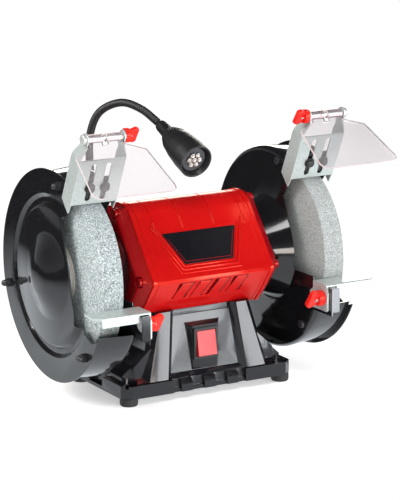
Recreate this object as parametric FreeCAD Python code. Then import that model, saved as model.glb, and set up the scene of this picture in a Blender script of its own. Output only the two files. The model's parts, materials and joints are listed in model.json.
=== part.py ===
import FreeCAD, Part
import math
import os

# Bench grinder, two 200 mm wheels on one motor spindle, with a gooseneck lamp.
# Millimetres. X is the spindle axis, the operator stands on the -Y side, Z is up.
# The origin is on the bench, in the middle of the four feet.

V = FreeCAD.Vector

# ---- driving dimensions: wheels and spindle --------------------------------
SPINDLE_Z = 140.0            # height of the spindle above the bench
HOUSING_L = 151.6
HALF_L = HOUSING_L / 2.0
WHEEL_R = 100.0
WHEEL_W = 25.0
WHEEL_X = HALF_L + 61.9      # middle of each wheel from the middle of the machine
WHEEL_BORE_R = 16.0
ARBOR_R = 8.0                # spindle end that carries the wheel
JOURNAL_R = 8.5              # spindle under the bearings
ROTOR_SEAT_R = 10.0
BLOTTER_T = 0.5
FLANGE_R = 35.0
FLANGE_T = 5.0
NUT_AF = 24.0
NUT_T = 12.0
THREAD_STICKOUT = 4.0
BORE_FIT = 0.05              # radial clearance of a running or sliding fit

# ---- motor ------------------------------------------------------------------
STATOR_R = 43.5
STATOR_BORE_R = 25.0
STATOR_L = 60.0
AIR_GAP = 0.5
WINDING_L = 17.0
BEARING_R = 20.0
BEARING_W = 12.0
BEARING_X = HALF_L + 22.2    # outer face of each bearing
WASHER_T = 1.5
BALL_R = 2.45
BALL_PITCH_R = 14.0
BALL_COUNT = 7

# ---- motor housing -----------------------------------------------------------
HOUSING_WALL = 2.6
RIDGE_Y = 75.0               # front ridge, half the depth of the housing
RIDGE_Z = SPINDLE_Z - 4.5
RIDGE_ROUND = 4.5
TOP_ROUND = 28.0
HOUSING_TOP_Z = SPINDLE_Z + 69.5
HOUSING_TOP_Y = 15.0
CHAMFER_Y = 53.5             # foot of the louvred lower panel
CHAMFER_Z = SPINDLE_Z - 33.0
HOUSING_FOOT_Y = 41.0
HOUSING_FOOT_Z = SPINDLE_Z - 47.0
CAP_L = 12.0                 # end shield outside the housing
CAP_INSET = 9.0              # how much the end shield narrows over that length
BOSS_R = 26.0                # bearing boss on the end shield
LOUVRE_X = (-34.0, 0.0, 34.0)
LOUVRE_W = 16.0
TOP_GROOVE_X = (-52.0, -17.5, 22.0, 60.0)
TOP_GROOVE_W = 1.4
END_SCREW_R = 2.5
END_SCREW_SPOTS = ((-61.0, SPINDLE_Z - 4.0), (61.0, SPINDLE_Z - 4.0),
                   (-8.0, SPINDLE_Z + 61.0), (8.0, SPINDLE_Z + 61.0))

# ---- wheel guards -----------------------------------------------------------
SHEET = 1.5                  # pressed steel sheet
GUARD_IN_X = WHEEL_X - WHEEL_W / 2.0 - 12.7    # motor side of the guard
GUARD_W = WHEEL_W + 21.1     # depth of the guard drum
DRUM_R_IN = 114.4            # drum radius at its pressed corner
DRUM_R_OUT = 110.8           # drum radius at the cover
COVER_R = 116.0
GROOVE_R = 82.0              # middle of the pressed groove in the cover
GROOVE_DEPTH = 3.0
DOME_R = 46.0
DOME_X = 17.5                # how far the dome stands out from the cover
DISH_R_OUT = 60.0            # dished middle of the guard, down to the end shield
DISH_R_IN = 44.0
GUARD_BOLT_R = 2.5
GUARD_BOLT_PITCH_R = 105.2
GUARD_BOLT_DEG = (103.0, 224.0, 344.0)

# ---- tool rests --------------------------------------------------------------
REST_T = 2.5
REST_TOP_Z = SPINDLE_Z - 17.5
REST_DEPTH = 27.0
REST_LIP = 10.5
REST_OUT_X = WHEEL_X + 36.3  # outer end of each rest
REST_GAP = {"left": 4.5, "right": 1.7}
REST_OUTWARD = 10.0          # travel away from the wheel
REST_INWARD = 1.0            # travel towards a new wheel
REST_BOLT_Y = 119.0
REST_BOLT_Z = SPINDLE_Z - 33.0
REST_BOLT_R = 4.0
TAB_Y = 134.0                # front of the guard's rest tab
TAB_TOP_Z = SPINDLE_Z - 20.7
TAB_FLANGE = 10.0            # turned-in front edge of the tab
TAB_BOTTOM_Z = SPINDLE_Z - 47.5

# ---- mouth of each guard: (y, height above the spindle) from the top down ----------
MOUTH_TOP = (-66.0, 110.0)
MOUTH_FAR = -140.0
DISC_EDGE = [(-50.0, 88.0), (-33.0, 64.0), (-41.0, 48.0), (-46.0, 26.0), (-50.0, 11.0), (-54.0, -1.0),
             (-59.0, -14.5), (-97.0, -14.5), (-98.5, TAB_TOP_Z - SPINDLE_Z)]
COVER_EDGE = [(-50.0, 89.0), (-37.0, 75.0), (-30.0, 66.5), (-32.5, 58.0), (-37.0, 45.0), (-44.0, 23.0),
              (-49.0, 5.0), (-53.5, -14.0), (-57.0, -27.0), (-58.0, -41.0), (-68.0, -44.0),
              (-80.0, -49.0), (-92.0, -54.0), (-104.0, -50.0)]

# ---- spark deflectors and eye shields --------------------------------------------
LEAN_DEG = 24.2              # the deflector leans this far forward
BRACKET_X = WHEEL_X - 1.5
BRACKET_W = GUARD_W + 8.9
BRACKET_BOTTOM = 101.5       # along the leaning plate, from the spindle axis
BRACKET_TOP = 156.5
BRACKET_FRONT = 14.1         # front face of the plate ahead of the leaning radius
BRACKET_DEPTH = 19.5
EAR_W = GUARD_W - 1.1        # over the two ears
EAR_ALONG = 179.6            # pivot, along the lean and ahead of the leaning radius
EAR_AHEAD = 7.0
EAR_R = 6.5
SLOT_W = 6.4
SLOT_GAP = 17.5              # between the two slots
SLOT_LOW = 108.5
SLOT_HIGH = 149.0
SCREW_ALONG = 122.0
SCREW_R = 2.5
PIVOT_R = 3.0
SHIELD_T = 2.5
SHIELD_HANG_DEG = {"left": 30.0, "right": 40.0}
# outline of the shield: (across, down) from the middle of the pivot
SHIELD_OUTLINE = [(-20.0, 9.0), (20.0, 8.5), (44.5, 17.0), (67.0, 59.0), (67.5, 63.5), (64.0, 66.0),
                  (-21.0, 66.0), (-27.5, 64.0), (-31.0, 59.5), (-38.5, 20.0), (-37.0, 17.0)]
KNUCKLES = ((-20.0, -3.0), (1.5, 20.0))
KNUCKLE_R = 4.6

# ---- base -----------------------------------------------------------------------
FOOT_H = 8.6
FOOT_R = 10.0
FOOT_X = HALF_L + 20.2
FOOT_Y = 55.5
BENCH_BOLT_R = 4.25
PLINTH_X = HALF_L + 31.2
PLINTH_Y = 66.4
PLINTH_TOP = 23.0
BASE_WALL = 3.2
PEDESTAL_TOP = HOUSING_FOOT_Z + 3.0
PILLAR_FOOT_X = 73.0
PILLAR_TOP_X = 54.0
PANEL_FOOT_X = 50.0          # inner edge of each pillar's front
PANEL_TOP_X = 41.5
PEDESTAL_FOOT_Y = 61.0
PEDESTAL_TOP_Y = 51.0
PANEL_SET_BACK = 7.0         # the panel between the pillars, and the wings, sit this far back
PANEL_TOP = HOUSING_FOOT_Z - 4.0
GLAND_R = 8.0
GLAND_X = 20.0
GLAND_Z = 42.0
CORD_R = 3.75

# ---- switch ----------------------------------------------------------------------
SWITCH_Z = 56.5
SWITCH_W = 30.5
SWITCH_H = 35.0
ROCKER_W = 24.0
ROCKER_H = 29.0
HOOD_BOTTOM_Z = 28.0
HOOD_TOP_Z = 79.0

# ---- lamp --------------------------------------------------------------------------
NECK_R = 4.5
NECK_GAP = 0.5
STEM_X = -66.0
STEM_Y = 84.0
SOCKET_Z = SPINDLE_Z + 18.0
NECK_ROUTE = {
    "elbow": V(STEM_X, STEM_Y, SPINDLE_Z + 132.0),
    "crown": V(-41.5, 56.5, SPINDLE_Z + 170.0),
    "collar": V(-15.3, 21.5, SPINDLE_Z + 150.0),
}
HEAD_DIP_DEG = 20.0
HEAD_COLLAR_L = 26.0
HEAD_BELL_L = 62.0
HEAD_R = 19.0

# ---- red wing knobs ------------------------------------------------------------------
# collar radius and length, wing length, width and thickness
REST_KNOB = {"collar_r": 8.0, "collar_l": 7.0, "wing_l": 10.5, "wing_w": 24.0, "wing_t": 6.5}
PIVOT_KNOB = {"collar_r": 7.0, "collar_l": 6.0, "wing_l": 9.5, "wing_w": 20.0, "wing_t": 5.5}
KNOB_TURN_DEG = 35.0
KNOB_BORE_PAST = 3.5         # the bore runs on into the wing
PART_GAP = 0.3               # between faces that only pass each other

# ---- values that follow -----------------------------------------------------------
WHEEL_IN_X = WHEEL_X - WHEEL_W / 2.0
WHEEL_OUT_X = WHEEL_X + WHEEL_W / 2.0
FLANGE_IN_X = WHEEL_IN_X - BLOTTER_T - FLANGE_T
NUT_IN_X = WHEEL_OUT_X + BLOTTER_T + FLANGE_T
NUT_OUT_X = NUT_IN_X + NUT_T
GUARD_OUT_X = GUARD_IN_X + GUARD_W
BEARING_IN_X = BEARING_X - BEARING_W
CAP_FACE_X = HALF_L + CAP_L
LEAN = math.radians(LEAN_DEG)
NODES = {}


# ---- small helpers ------------------------------------------------------------------
def box(x, y, z):
    """A box from three (low, high) pairs."""
    return Part.makeBox(x[1] - x[0], y[1] - y[0], z[1] - z[0], V(x[0], y[0], z[0]))


def rod_x(radius, x0, x1, y=0.0, z=SPINDLE_Z):
    """A cylinder along X."""
    return Part.makeCylinder(radius, x1 - x0, V(x0, y, z), V(1, 0, 0))


def ring_x(outer, inner, x0, x1, y=0.0, z=SPINDLE_Z):
    return rod_x(outer, x0, x1, y, z).cut(rod_x(inner, x0 - 1.0, x1 + 1.0, y, z))


def hex_x(across_flats, x0, x1, y=0.0, z=SPINDLE_Z):
    corner = across_flats / math.sqrt(3.0)
    points = [(y + corner * math.cos(math.radians(60 * i)), z + corner * math.sin(math.radians(60 * i)))
              for i in range(6)]
    return prism_x(points, x0, x1)


def face_of(points):
    return Part.Face(Part.makePolygon(points + [points[0]]))


def prism_x(points, x0, x1):
    """A (y, z) outline drawn out along X."""
    return face_of([V(x0, y, z) for y, z in points]).extrude(V(x1 - x0, 0, 0))


def prism_y(points, y0, y1):
    """An (x, z) outline drawn out along Y."""
    return face_of([V(x, y0, z) for x, z in points]).extrude(V(0, y1 - y0, 0))


def prism_z(points, z0, z1):
    """An (x, y) outline drawn out along Z."""
    return face_of([V(x, y, z0) for x, y in points]).extrude(V(0, 0, z1 - z0))


def turned_x(profile):
    """An (x, radius) outline turned about the spindle axis."""
    face = face_of([V(x, 0, SPINDLE_Z + r) for x, r in profile])
    return face.revolve(V(0, 0, SPINDLE_Z), V(1, 0, 0), 360)


def mirrored(shape):
    return shape.mirror(V(0, 0, 0), V(1, 0, 0))


def joined(shapes):
    result = shapes[0]
    for shape in shapes[1:]:
        result = result.fuse(shape)
    return result.removeSplitter()


def rounded(shape, radius, wanted):
    """Round the edges that a test picks."""
    edges = [edge for edge in shape.Edges if wanted(edge)]
    return shape.makeFillet(radius, edges)


def turned_about_x(shape, degrees, y, z):
    copy = shape.copy()
    copy.rotate(V(0, y, z), V(1, 0, 0), degrees)
    return copy


def leaned(shape):
    """From the bracket's upright frame (y = -ahead, z = along) to its place."""
    copy = shape.copy()
    copy.rotate(V(0, 0, 0), V(1, 0, 0), LEAN_DEG)
    copy.translate(V(0, 0, SPINDLE_Z))
    return copy


def leaned_point(ahead, along):
    y = -along * math.sin(LEAN) - ahead * math.cos(LEAN)
    z = along * math.cos(LEAN) - ahead * math.sin(LEAN)
    return y, SPINDLE_Z + z


def both_sides(name, shape):
    """A right-hand part and its mirror image, each in its own node."""
    NODES["right_" + name] = shape
    NODES["left_" + name] = mirrored(shape)


def group(shapes):
    return Part.makeCompound(shapes)


# ---- spindle and rotor ---------------------------------------------------------------
def spindle_shaft():
    half = [(0, 0), (0, ROTOR_SEAT_R), (BEARING_IN_X, ROTOR_SEAT_R), (BEARING_IN_X, JOURNAL_R),
            (FLANGE_IN_X, JOURNAL_R), (FLANGE_IN_X, ARBOR_R),
            (NUT_OUT_X + THREAD_STICKOUT - 1.0, ARBOR_R),
            (NUT_OUT_X + THREAD_STICKOUT, ARBOR_R - 1.0), (NUT_OUT_X + THREAD_STICKOUT, 0)]
    side = turned_x(half)
    return joined([side, mirrored(side)])


def rotor_core():
    """Laminated core with its cast cage rings and fan blades."""
    radius = STATOR_BORE_R - AIR_GAP
    half = STATOR_L / 2.0
    core = ring_x(radius, ROTOR_SEAT_R, -half, half)
    ring = ring_x(radius - 1.0, radius - 10.0, half, half + 8.0)
    blades = []
    for i in range(10):
        blade = box((half + 8.0, half + 16.0), (-1.2, 1.2), (radius - 9.0, radius - 1.5))
        blade.translate(V(0, 0, SPINDLE_Z))
        blades.append(turned_about_x(blade, 36.0 * i, 0, SPINDLE_Z))
    end = joined([ring] + blades)
    return joined([core, end, mirrored(end)])


def wheel(inner_r):
    """A straight grinding wheel with lightly broken edges."""
    edge = 0.8
    profile = [(WHEEL_IN_X, inner_r), (WHEEL_IN_X, WHEEL_R - edge), (WHEEL_IN_X + edge, WHEEL_R),
               (WHEEL_OUT_X - edge, WHEEL_R), (WHEEL_OUT_X, WHEEL_R - edge), (WHEEL_OUT_X, inner_r)]
    return turned_x(profile)


def wheel_flange(face_x, direction):
    """A relieved clamping flange whose rim bears on the blotter."""
    relief = 1.2
    back = face_x - direction * FLANGE_T
    profile = [(back, ARBOR_R + BORE_FIT), (back, FLANGE_R - 3.0), (back + direction * 2.0, FLANGE_R),
               (face_x, FLANGE_R), (face_x, FLANGE_R - 9.0), (face_x - direction * relief, FLANGE_R - 10.0),
               (face_x - direction * relief, ARBOR_R + BORE_FIT)]
    return turned_x(profile)


def spindle_group():
    NODES["spindle_shaft"] = spindle_shaft()
    NODES["rotor_core"] = rotor_core()
    NODES["right_wheel"] = wheel(WHEEL_BORE_R)
    NODES["left_wheel"] = mirrored(wheel(WHEEL_BORE_R))
    pairs = {
        "inner_wheel_flanges": wheel_flange(WHEEL_IN_X - BLOTTER_T, 1.0),
        "outer_wheel_flanges": wheel_flange(WHEEL_OUT_X + BLOTTER_T, -1.0),
        "wheel_bushes": ring_x(WHEEL_BORE_R, ARBOR_R + BORE_FIT, WHEEL_IN_X, WHEEL_OUT_X),
        "spindle_nuts": hex_x(NUT_AF, NUT_IN_X, NUT_OUT_X).common(
            turned_x([(NUT_IN_X, ARBOR_R), (NUT_IN_X, NUT_AF * 0.57), (NUT_OUT_X - 1.5, NUT_AF * 0.57),
                      (NUT_OUT_X, NUT_AF * 0.5), (NUT_OUT_X, ARBOR_R)])),
    }
    for name, shape in pairs.items():
        NODES[name] = group([mirrored(shape), shape])
    blotters = [ring_x(FLANGE_R + 2.0, WHEEL_BORE_R, x, x + BLOTTER_T)
                for x in (WHEEL_IN_X - BLOTTER_T, WHEEL_OUT_X)]
    NODES["wheel_blotters"] = group(blotters + [mirrored(b) for b in blotters])


def bearings():
    race = BALL_R + BORE_FIT
    inner = ring_x(BALL_PITCH_R - race, JOURNAL_R, BEARING_IN_X, BEARING_X)
    outer = ring_x(BEARING_R, BALL_PITCH_R + race, BEARING_IN_X, BEARING_X)
    balls = []
    for i in range(BALL_COUNT):
        angle = 2.0 * math.pi * i / BALL_COUNT
        centre = V((BEARING_IN_X + BEARING_X) / 2.0, BALL_PITCH_R * math.cos(angle),
                   SPINDLE_Z + BALL_PITCH_R * math.sin(angle))
        balls.append(Part.makeSphere(BALL_R, centre))
    NODES["bearing_inner_rings"] = group([mirrored(inner), inner])
    NODES["bearing_outer_rings"] = group([mirrored(outer), outer])
    NODES["bearing_balls"] = group([mirrored(b) for b in balls] + balls)


# ---- motor housing, stator and end shields -----------------------------------------------
def housing_outline(inset=0.0):
    """Front half of the housing section, from the top to the foot, then its mirror image."""
    corners = [(HOUSING_TOP_Y, HOUSING_TOP_Z), (RIDGE_Y, RIDGE_Z), (CHAMFER_Y, CHAMFER_Z),
               (HOUSING_FOOT_Y, HOUSING_FOOT_Z)]
    points = [V(0, -y, z) for y, z in corners] + [V(0, y, z) for y, z in reversed(corners)]
    outline = Part.makePolygon(points + [points[0]])
    if inset:
        outline = outline.makeOffset2D(-inset, 2)
    return Part.Face(outline)


def housing_solid(inset, x0, x1):
    """The housing's section drawn out along X, with its long edges rounded."""
    face = housing_outline(inset)
    face.translate(V(x0, 0, 0))
    solid = face.extrude(V(x1 - x0, 0, 0))

    def long_edge(edge, z_low, z_high):
        low, high = edge.BoundBox.ZMin, edge.BoundBox.ZMax
        return edge.BoundBox.XLength > (x1 - x0) - 0.1 and low > z_low and high < z_high

    top = (HOUSING_TOP_Z - 12.0, HOUSING_TOP_Z + 3.0)
    solid = rounded(solid, TOP_ROUND - inset, lambda e: long_edge(e, *top))
    return rounded(solid, RIDGE_ROUND - inset, lambda e: long_edge(e, RIDGE_Z - 12.0, RIDGE_Z + 12.0))


def motor_housing():
    shell = housing_solid(0.0, -HALF_L, HALF_L)
    shell = shell.cut(housing_solid(HOUSING_WALL, -HALF_L - 1.0, HALF_L + 1.0))
    saddles = []
    for side in (-1.0, 1.0):
        for x in (-20.0, 20.0):
            saddles.append(box((x - 4.0, x + 4.0), sorted((side * 30.0, side * 62.0)),
                               (SPINDLE_Z - 8.0, SPINDLE_Z + 8.0)))
        saddles.append(box((-24.0, 24.0), sorted((side * 6.0, side * 20.0)),
                           (SPINDLE_Z + 45.0, HOUSING_TOP_Z - 1.0)))
    pads = joined(saddles).cut(rod_x(STATOR_R, -HALF_L, HALF_L))
    pads = pads.common(housing_solid(HOUSING_WALL * 0.5, -HALF_L, HALF_L))
    shell = joined([shell, pads])
    lower_slope = math.degrees(math.atan2(RIDGE_Z - CHAMFER_Z, RIDGE_Y - CHAMFER_Y))
    for side in (-1.0, 1.0):
        for x in LOUVRE_X:
            slot = box((x - LOUVRE_W / 2.0, x + LOUVRE_W / 2.0), (-13.0, 13.0), (-10.0, 10.0))
            slot = slot.makeChamfer(1.5, [e for e in slot.Edges if e.BoundBox.XLength > 1.0])
            slot.rotate(V(0, 0, 0), V(1, 0, 0), side * lower_slope)
            slot.translate(V(0, side * (RIDGE_Y + CHAMFER_Y) / 2.0, (RIDGE_Z + CHAMFER_Z) / 2.0))
            thin = housing_solid(HOUSING_WALL - 1.0, -HALF_L, HALF_L)
            shell = shell.cut(slot.cut(thin))
    for x in TOP_GROOVE_X:
        width = (x - TOP_GROOVE_W / 2.0, x + TOP_GROOVE_W / 2.0)
        groove = box(width, (-RIDGE_Y, RIDGE_Y), (SPINDLE_Z + 42.0, HOUSING_TOP_Z + 5.0))
        shell = shell.cut(groove.cut(housing_solid(0.8, -HALF_L, HALF_L)))
    return shell


def end_shield():
    """Cast end shield: a tapered cap on the housing's mouth and the bearing boss."""
    spigot = housing_solid(HOUSING_WALL + 0.1, HALF_L - 4.0, HALF_L)
    near, far = housing_outline(0.6), housing_outline(CAP_INSET)
    near.translate(V(HALF_L, 0, 0))
    far.translate(V(CAP_FACE_X, 0, 0))
    cap = Part.makeLoft([near.OuterWire, far.OuterWire], True, True)
    cap = rounded(cap, 3.0, lambda e: e.BoundBox.XMin > CAP_FACE_X - 0.1 and e.BoundBox.XLength < 0.1)
    pocket_x = BEARING_X + WASHER_T + 0.1
    boss = rod_x(BOSS_R, HALF_L, pocket_x + 3.0)
    body = joined([spigot, cap, boss])
    floor_x = CAP_FACE_X - 5.0
    hollow = turned_x([(HALF_L - 5.0, 0), (HALF_L - 5.0, 50.0), (floor_x, 46.0), (floor_x, 0)])
    body = body.cut(hollow)
    seat = ring_x(BEARING_R + 5.0, BEARING_R, BEARING_IN_X - 1.0, CAP_FACE_X)
    body = joined([body, seat]).cut(rod_x(BEARING_R, BEARING_IN_X - 2.0, pocket_x))
    body = body.cut(rod_x(ROTOR_SEAT_R + 1.0, HALF_L - 5.0, BEARING_IN_X))
    return body.cut(rod_x(JOURNAL_R + 0.6, HALF_L, pocket_x + 4.0))


def end_shields():
    shield = end_shield()
    screws = []
    head_x = HALF_L + 8.0
    for y, z in END_SCREW_SPOTS:
        shield = shield.fuse(rod_x(6.0, HALF_L, head_x, y, z))
    for y, z in END_SCREW_SPOTS:
        shield = shield.cut(rod_x(6.2, head_x, CAP_FACE_X + 1.0, y, z))
        shield = shield.cut(rod_x(END_SCREW_R, HALF_L - 10.0, head_x + 1.0, y, z))
        shank = rod_x(END_SCREW_R, HALF_L - 14.0, head_x, y, z)
        head = rod_x(4.6, head_x, head_x + 3.4, y, z)
        screws.append(joined([shank, head]).cut(hex_x(4.0, head_x + 1.6, head_x + 4.0, y, z)))
    both_sides("end_shield", shield.removeSplitter())
    NODES["end_shield_screws"] = group([mirrored(s) for s in screws] + screws)


def stator():
    half = STATOR_L / 2.0
    NODES["stator_core"] = ring_x(STATOR_R, STATOR_BORE_R, -half, half)
    inner, outer = STATOR_BORE_R + 2.0, STATOR_R - 3.5
    end = half + WINDING_L
    coil = turned_x([(half, inner), (half, outer - 2.0), (half + 5.0, outer), (end - 4.0, outer - 0.5),
                     (end, outer - 4.0), (end, inner + 3.0), (end - 4.0, inner)])
    NODES["stator_windings"] = group([mirrored(coil), coil])
    washer = ring_x(BEARING_R - 0.5, BEARING_R - 4.0, BEARING_X, BEARING_X + WASHER_T)
    NODES["bearing_wave_washer"] = washer


# ---- wheel guards ----------------------------------------------------------------------
def opening(edge, x0, x1):
    """The mouth of the guard, in front of an edge line."""
    outline = [MOUTH_TOP] + edge + [(MOUTH_FAR, edge[-1][1]), (MOUTH_FAR, MOUTH_TOP[1])]
    return prism_x([(y, SPINDLE_Z + rise) for y, rise in outline], x0, x1)


def drum_profile():
    """Section of the drum's rim, from the pressed corner to the cover."""
    corner = 6.0
    x0, r0 = GUARD_IN_X, DRUM_R_IN
    outside = []
    inside = []
    for i in range(7):
        angle = math.radians(90.0 * i / 6.0)
        outside.append((x0 + corner - corner * math.cos(angle), r0 - corner + corner * math.sin(angle)))
        bend = corner - SHEET
        inside.append((x0 + corner - bend * math.cos(angle), r0 - corner + bend * math.sin(angle)))
    return outside + [(GUARD_OUT_X, DRUM_R_OUT), (GUARD_OUT_X, DRUM_R_OUT - SHEET)] + inside[::-1]


def guard_drum():
    x0 = GUARD_IN_X
    floor_x = CAP_FACE_X
    face = [(x0, DRUM_R_IN - 6.0), (x0, DISH_R_OUT), (floor_x, DISH_R_IN), (floor_x, BOSS_R + 0.3)]
    disc = turned_x(face + [(x + SHEET, r) for x, r in face[::-1]])
    disc = disc.cut(opening(DISC_EDGE, x0 - 1.0, x0 + SHEET + 1.0))
    rim = turned_x(drum_profile())
    rim_edge = [DISC_EDGE[0], (DISC_EDGE[0][0], TAB_BOTTOM_Z - SPINDLE_Z)]
    rim = rim.cut(opening(rim_edge, GUARD_IN_X - 1.0, GUARD_OUT_X + 1.0))
    rest_tab = box((GUARD_IN_X, GUARD_IN_X + SHEET), (-TAB_Y, -96.0), (TAB_BOTTOM_Z - 4.0, TAB_TOP_Z))
    rest_tab = rest_tab.fuse(box((GUARD_IN_X, GUARD_IN_X + TAB_FLANGE), (-TAB_Y, -TAB_Y + SHEET),
                                 (TAB_BOTTOM_Z, TAB_TOP_Z)))
    tab_front = -(BRACKET_FRONT - SHEET - PART_GAP)
    screen_tab = leaned(box((BRACKET_X - 16.0, BRACKET_X + 16.0), (tab_front, tab_front + SHEET),
                            (DRUM_R_OUT - 3.6, SCREW_ALONG + 11.0)))
    drum = joined([disc, rim, rest_tab, screen_tab])
    for y, z in guard_bolt_spots():
        drum = drum.cut(rod_x(GUARD_BOLT_R + 0.2, GUARD_IN_X - 1.0, GUARD_IN_X + 3.0, y, z))
    for y, z in mount_screw_spots():
        drum = drum.cut(rod_x(2.6, floor_x - 1.0, floor_x + 3.0, y, z))
    for x in screw_xs():
        drum = drum.cut(leaned(Part.makeCylinder(SCREW_R, 30.0, V(x, -30.0, SCREW_ALONG), V(0, 1, 0))))
    bolt_hole = rod_x(REST_BOLT_R, GUARD_IN_X - 1.0, GUARD_IN_X + 3.0, -REST_BOLT_Y, REST_BOLT_Z)
    return drum.cut(bolt_hole)


def guard_bolt_spots():
    return [(GUARD_BOLT_PITCH_R * math.cos(math.radians(a)),
             SPINDLE_Z + GUARD_BOLT_PITCH_R * math.sin(math.radians(a))) for a in GUARD_BOLT_DEG]


def mount_screw_spots():
    radius = (BOSS_R + DISH_R_IN) / 2.0
    return [(radius * math.cos(math.radians(a)), SPINDLE_Z + radius * math.sin(math.radians(a)))
            for a in (90.0, 210.0, 330.0)]


def guard_cover():
    """Pressed outer cover: flat rim, sunk groove, raised middle and a dome over the spindle nut."""
    x0 = GUARD_OUT_X
    groove = x0 - GROOVE_DEPTH
    plateau = x0 + GROOVE_DEPTH
    dome = x0 + DOME_X

    def face_line(lift):
        return [(x0 + lift, COVER_R), (x0 + lift, GROOVE_R + 7.0), (groove + lift, GROOVE_R + 3.0),
                (groove + lift, GROOVE_R - 2.0), (plateau - 1.0 + lift, GROOVE_R - 6.0),
                (plateau + lift, GROOVE_R - 8.0), (plateau + lift, DOME_R + 3.0),
                (plateau + 1.0 + lift, DOME_R), (plateau + 5.0 + lift, DOME_R - 10.0),
                (dome - 5.0 + lift, DOME_R - 20.0), (dome - 1.2 + lift, DOME_R - 30.0),
                (dome + lift, DOME_R - 38.0), (dome + lift, 0.0)]

    shell = turned_x(face_line(SHEET) + face_line(0.0)[::-1])
    shell = shell.cut(opening(COVER_EDGE, groove - 1.0, dome + 5.0))
    for y, z in guard_bolt_spots():
        shell = shell.cut(rod_x(GUARD_BOLT_R + 0.2, x0 - 1.0, x0 + 4.0, y, z))
    return shell


def guards():
    drum = guard_drum()
    both_sides("guard_drum", drum)
    both_sides("guard_cover", guard_cover())
    bolts = []
    nuts = []
    cover_face = GUARD_OUT_X + SHEET
    for y, z in guard_bolt_spots():
        shank = rod_x(GUARD_BOLT_R, GUARD_IN_X, cover_face + 4.0, y, z)
        head = rod_x(4.4, GUARD_IN_X - 3.2, GUARD_IN_X, y, z)
        bolts.append(joined([head, shank]).cut(hex_x(3.5, GUARD_IN_X - 4.0, GUARD_IN_X - 1.6, y, z)))
        cap = hex_x(8.5, cover_face, cover_face + 4.0, y, z)
        crown = rod_x(3.6, cover_face + 4.0, cover_face + 6.0, y, z)
        crown = crown.fuse(Part.makeSphere(3.6, V(cover_face + 6.0, y, z)))
        nuts.append(joined([cap, crown]).cut(rod_x(GUARD_BOLT_R, cover_face - 1.0, cover_face + 4.0, y, z)))
    mounts = []
    for y, z in mount_screw_spots():
        shank = rod_x(2.4, CAP_FACE_X - 5.0, CAP_FACE_X + SHEET, y, z)
        head = rod_x(4.4, CAP_FACE_X + SHEET, CAP_FACE_X + SHEET + 2.4, y, z)
        mounts.append(joined([shank, head]))
        hole = rod_x(2.4, CAP_FACE_X - 6.0, CAP_FACE_X + 1.0, y, z)
        NODES["right_end_shield"] = NODES["right_end_shield"].cut(hole)
        NODES["left_end_shield"] = NODES["left_end_shield"].cut(mirrored(hole))
    for name, shapes in (("guard_bolts", bolts), ("guard_nuts", nuts), ("guard_mount_screws", mounts)):
        NODES[name] = group([mirrored(s) for s in shapes] + shapes)


# ---- wing knobs -----------------------------------------------------------------------------
def wing_knob(size, x_face, y, z, bore_r):
    """A knob that points to the motor (-X) from x_face: ribbed collar and a flared wing."""
    collar_r, collar_end = size["collar_r"], x_face - size["collar_l"]
    collar = rod_x(collar_r, collar_end, x_face, y, z)
    for i in range(12):
        angle = math.radians(30.0 * i)
        collar = collar.fuse(rod_x(0.8, collar_end + 1.0, x_face - 1.0, y + collar_r * math.cos(angle),
                                   z + collar_r * math.sin(angle)))
    x1 = collar_end + 1.5
    x0 = collar_end - size["wing_l"]
    wide = size["wing_w"] / 2.0
    root = wide * 0.6
    outline = [(x1, z - root), (x1, z + root), (x0 + 4.0, z + wide), (x0, z + wide * 0.8),
               (x0, z - wide * 0.8), (x0 + 4.0, z - wide)]
    wing = prism_y(outline, y - size["wing_t"] / 2.0, y + size["wing_t"] / 2.0)
    wing = rounded(wing, 1.4, lambda e: e.BoundBox.YLength < 0.1 and e.BoundBox.XMin < x1 - 0.1)
    knob = turned_about_x(joined([collar, wing]), KNOB_TURN_DEG, y, z)
    return knob.cut(rod_x(bore_r, collar_end - KNOB_BORE_PAST, x_face + 1.0, y, z))


# ---- tool rests ---------------------------------------------------------------------------------
def leg_in_x():
    return GUARD_IN_X - PART_GAP - REST_T


def tool_rest(gap):
    """Galvanised rest: a table with a turned-down lip and a slotted leg beside the guard."""
    rise = REST_TOP_Z - SPINDLE_Z
    back = -math.sqrt(WHEEL_R ** 2 - rise ** 2) - gap
    front = back - REST_DEPTH
    x0 = leg_in_x()
    corner = 7.0
    table = prism_z([(x0, back), (REST_OUT_X, back), (REST_OUT_X, front + corner),
                     (REST_OUT_X - corner, front), (x0, front)], REST_TOP_Z - REST_T, REST_TOP_Z)
    lip_x = GUARD_IN_X + TAB_FLANGE + 0.5
    lip = box((lip_x, REST_OUT_X - corner), (front, front + REST_T), (REST_TOP_Z - REST_LIP, REST_TOP_Z))
    leg = prism_x([(back, REST_TOP_Z), (front, REST_TOP_Z), (front, REST_TOP_Z - 6.0),
                   (front - 2.0, REST_TOP_Z - 9.0), (front - 2.0, TAB_BOTTOM_Z + 2.0),
                   (front, TAB_BOTTOM_Z), (back + 6.0, TAB_BOTTOM_Z), (back + 6.0, REST_TOP_Z - 12.0),
                   (back, REST_TOP_Z - 8.0)], x0, x0 + REST_T)
    rest = joined([table, lip, leg])
    rest = rounded(rest, REST_T * 0.8, lambda e: e.BoundBox.XLength > 40.0 and e.BoundBox.YMax < front + 0.1
                   and e.BoundBox.ZMin > REST_TOP_Z - 0.1)
    slot_r = REST_BOLT_R + 0.3
    low = -REST_BOLT_Y - REST_INWARD - gap
    high = -REST_BOLT_Y + REST_OUTWARD
    slot = rod_x(slot_r, x0 - 1.0, x0 + REST_T + 1.0, low, REST_BOLT_Z)
    slot = slot.fuse(rod_x(slot_r, x0 - 1.0, x0 + REST_T + 1.0, high, REST_BOLT_Z))
    middle = box((x0 - 1.0, x0 + REST_T + 1.0), (low, high), (REST_BOLT_Z - slot_r, REST_BOLT_Z + slot_r))
    slot = slot.fuse(middle)
    return rest.cut(slot)


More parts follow.
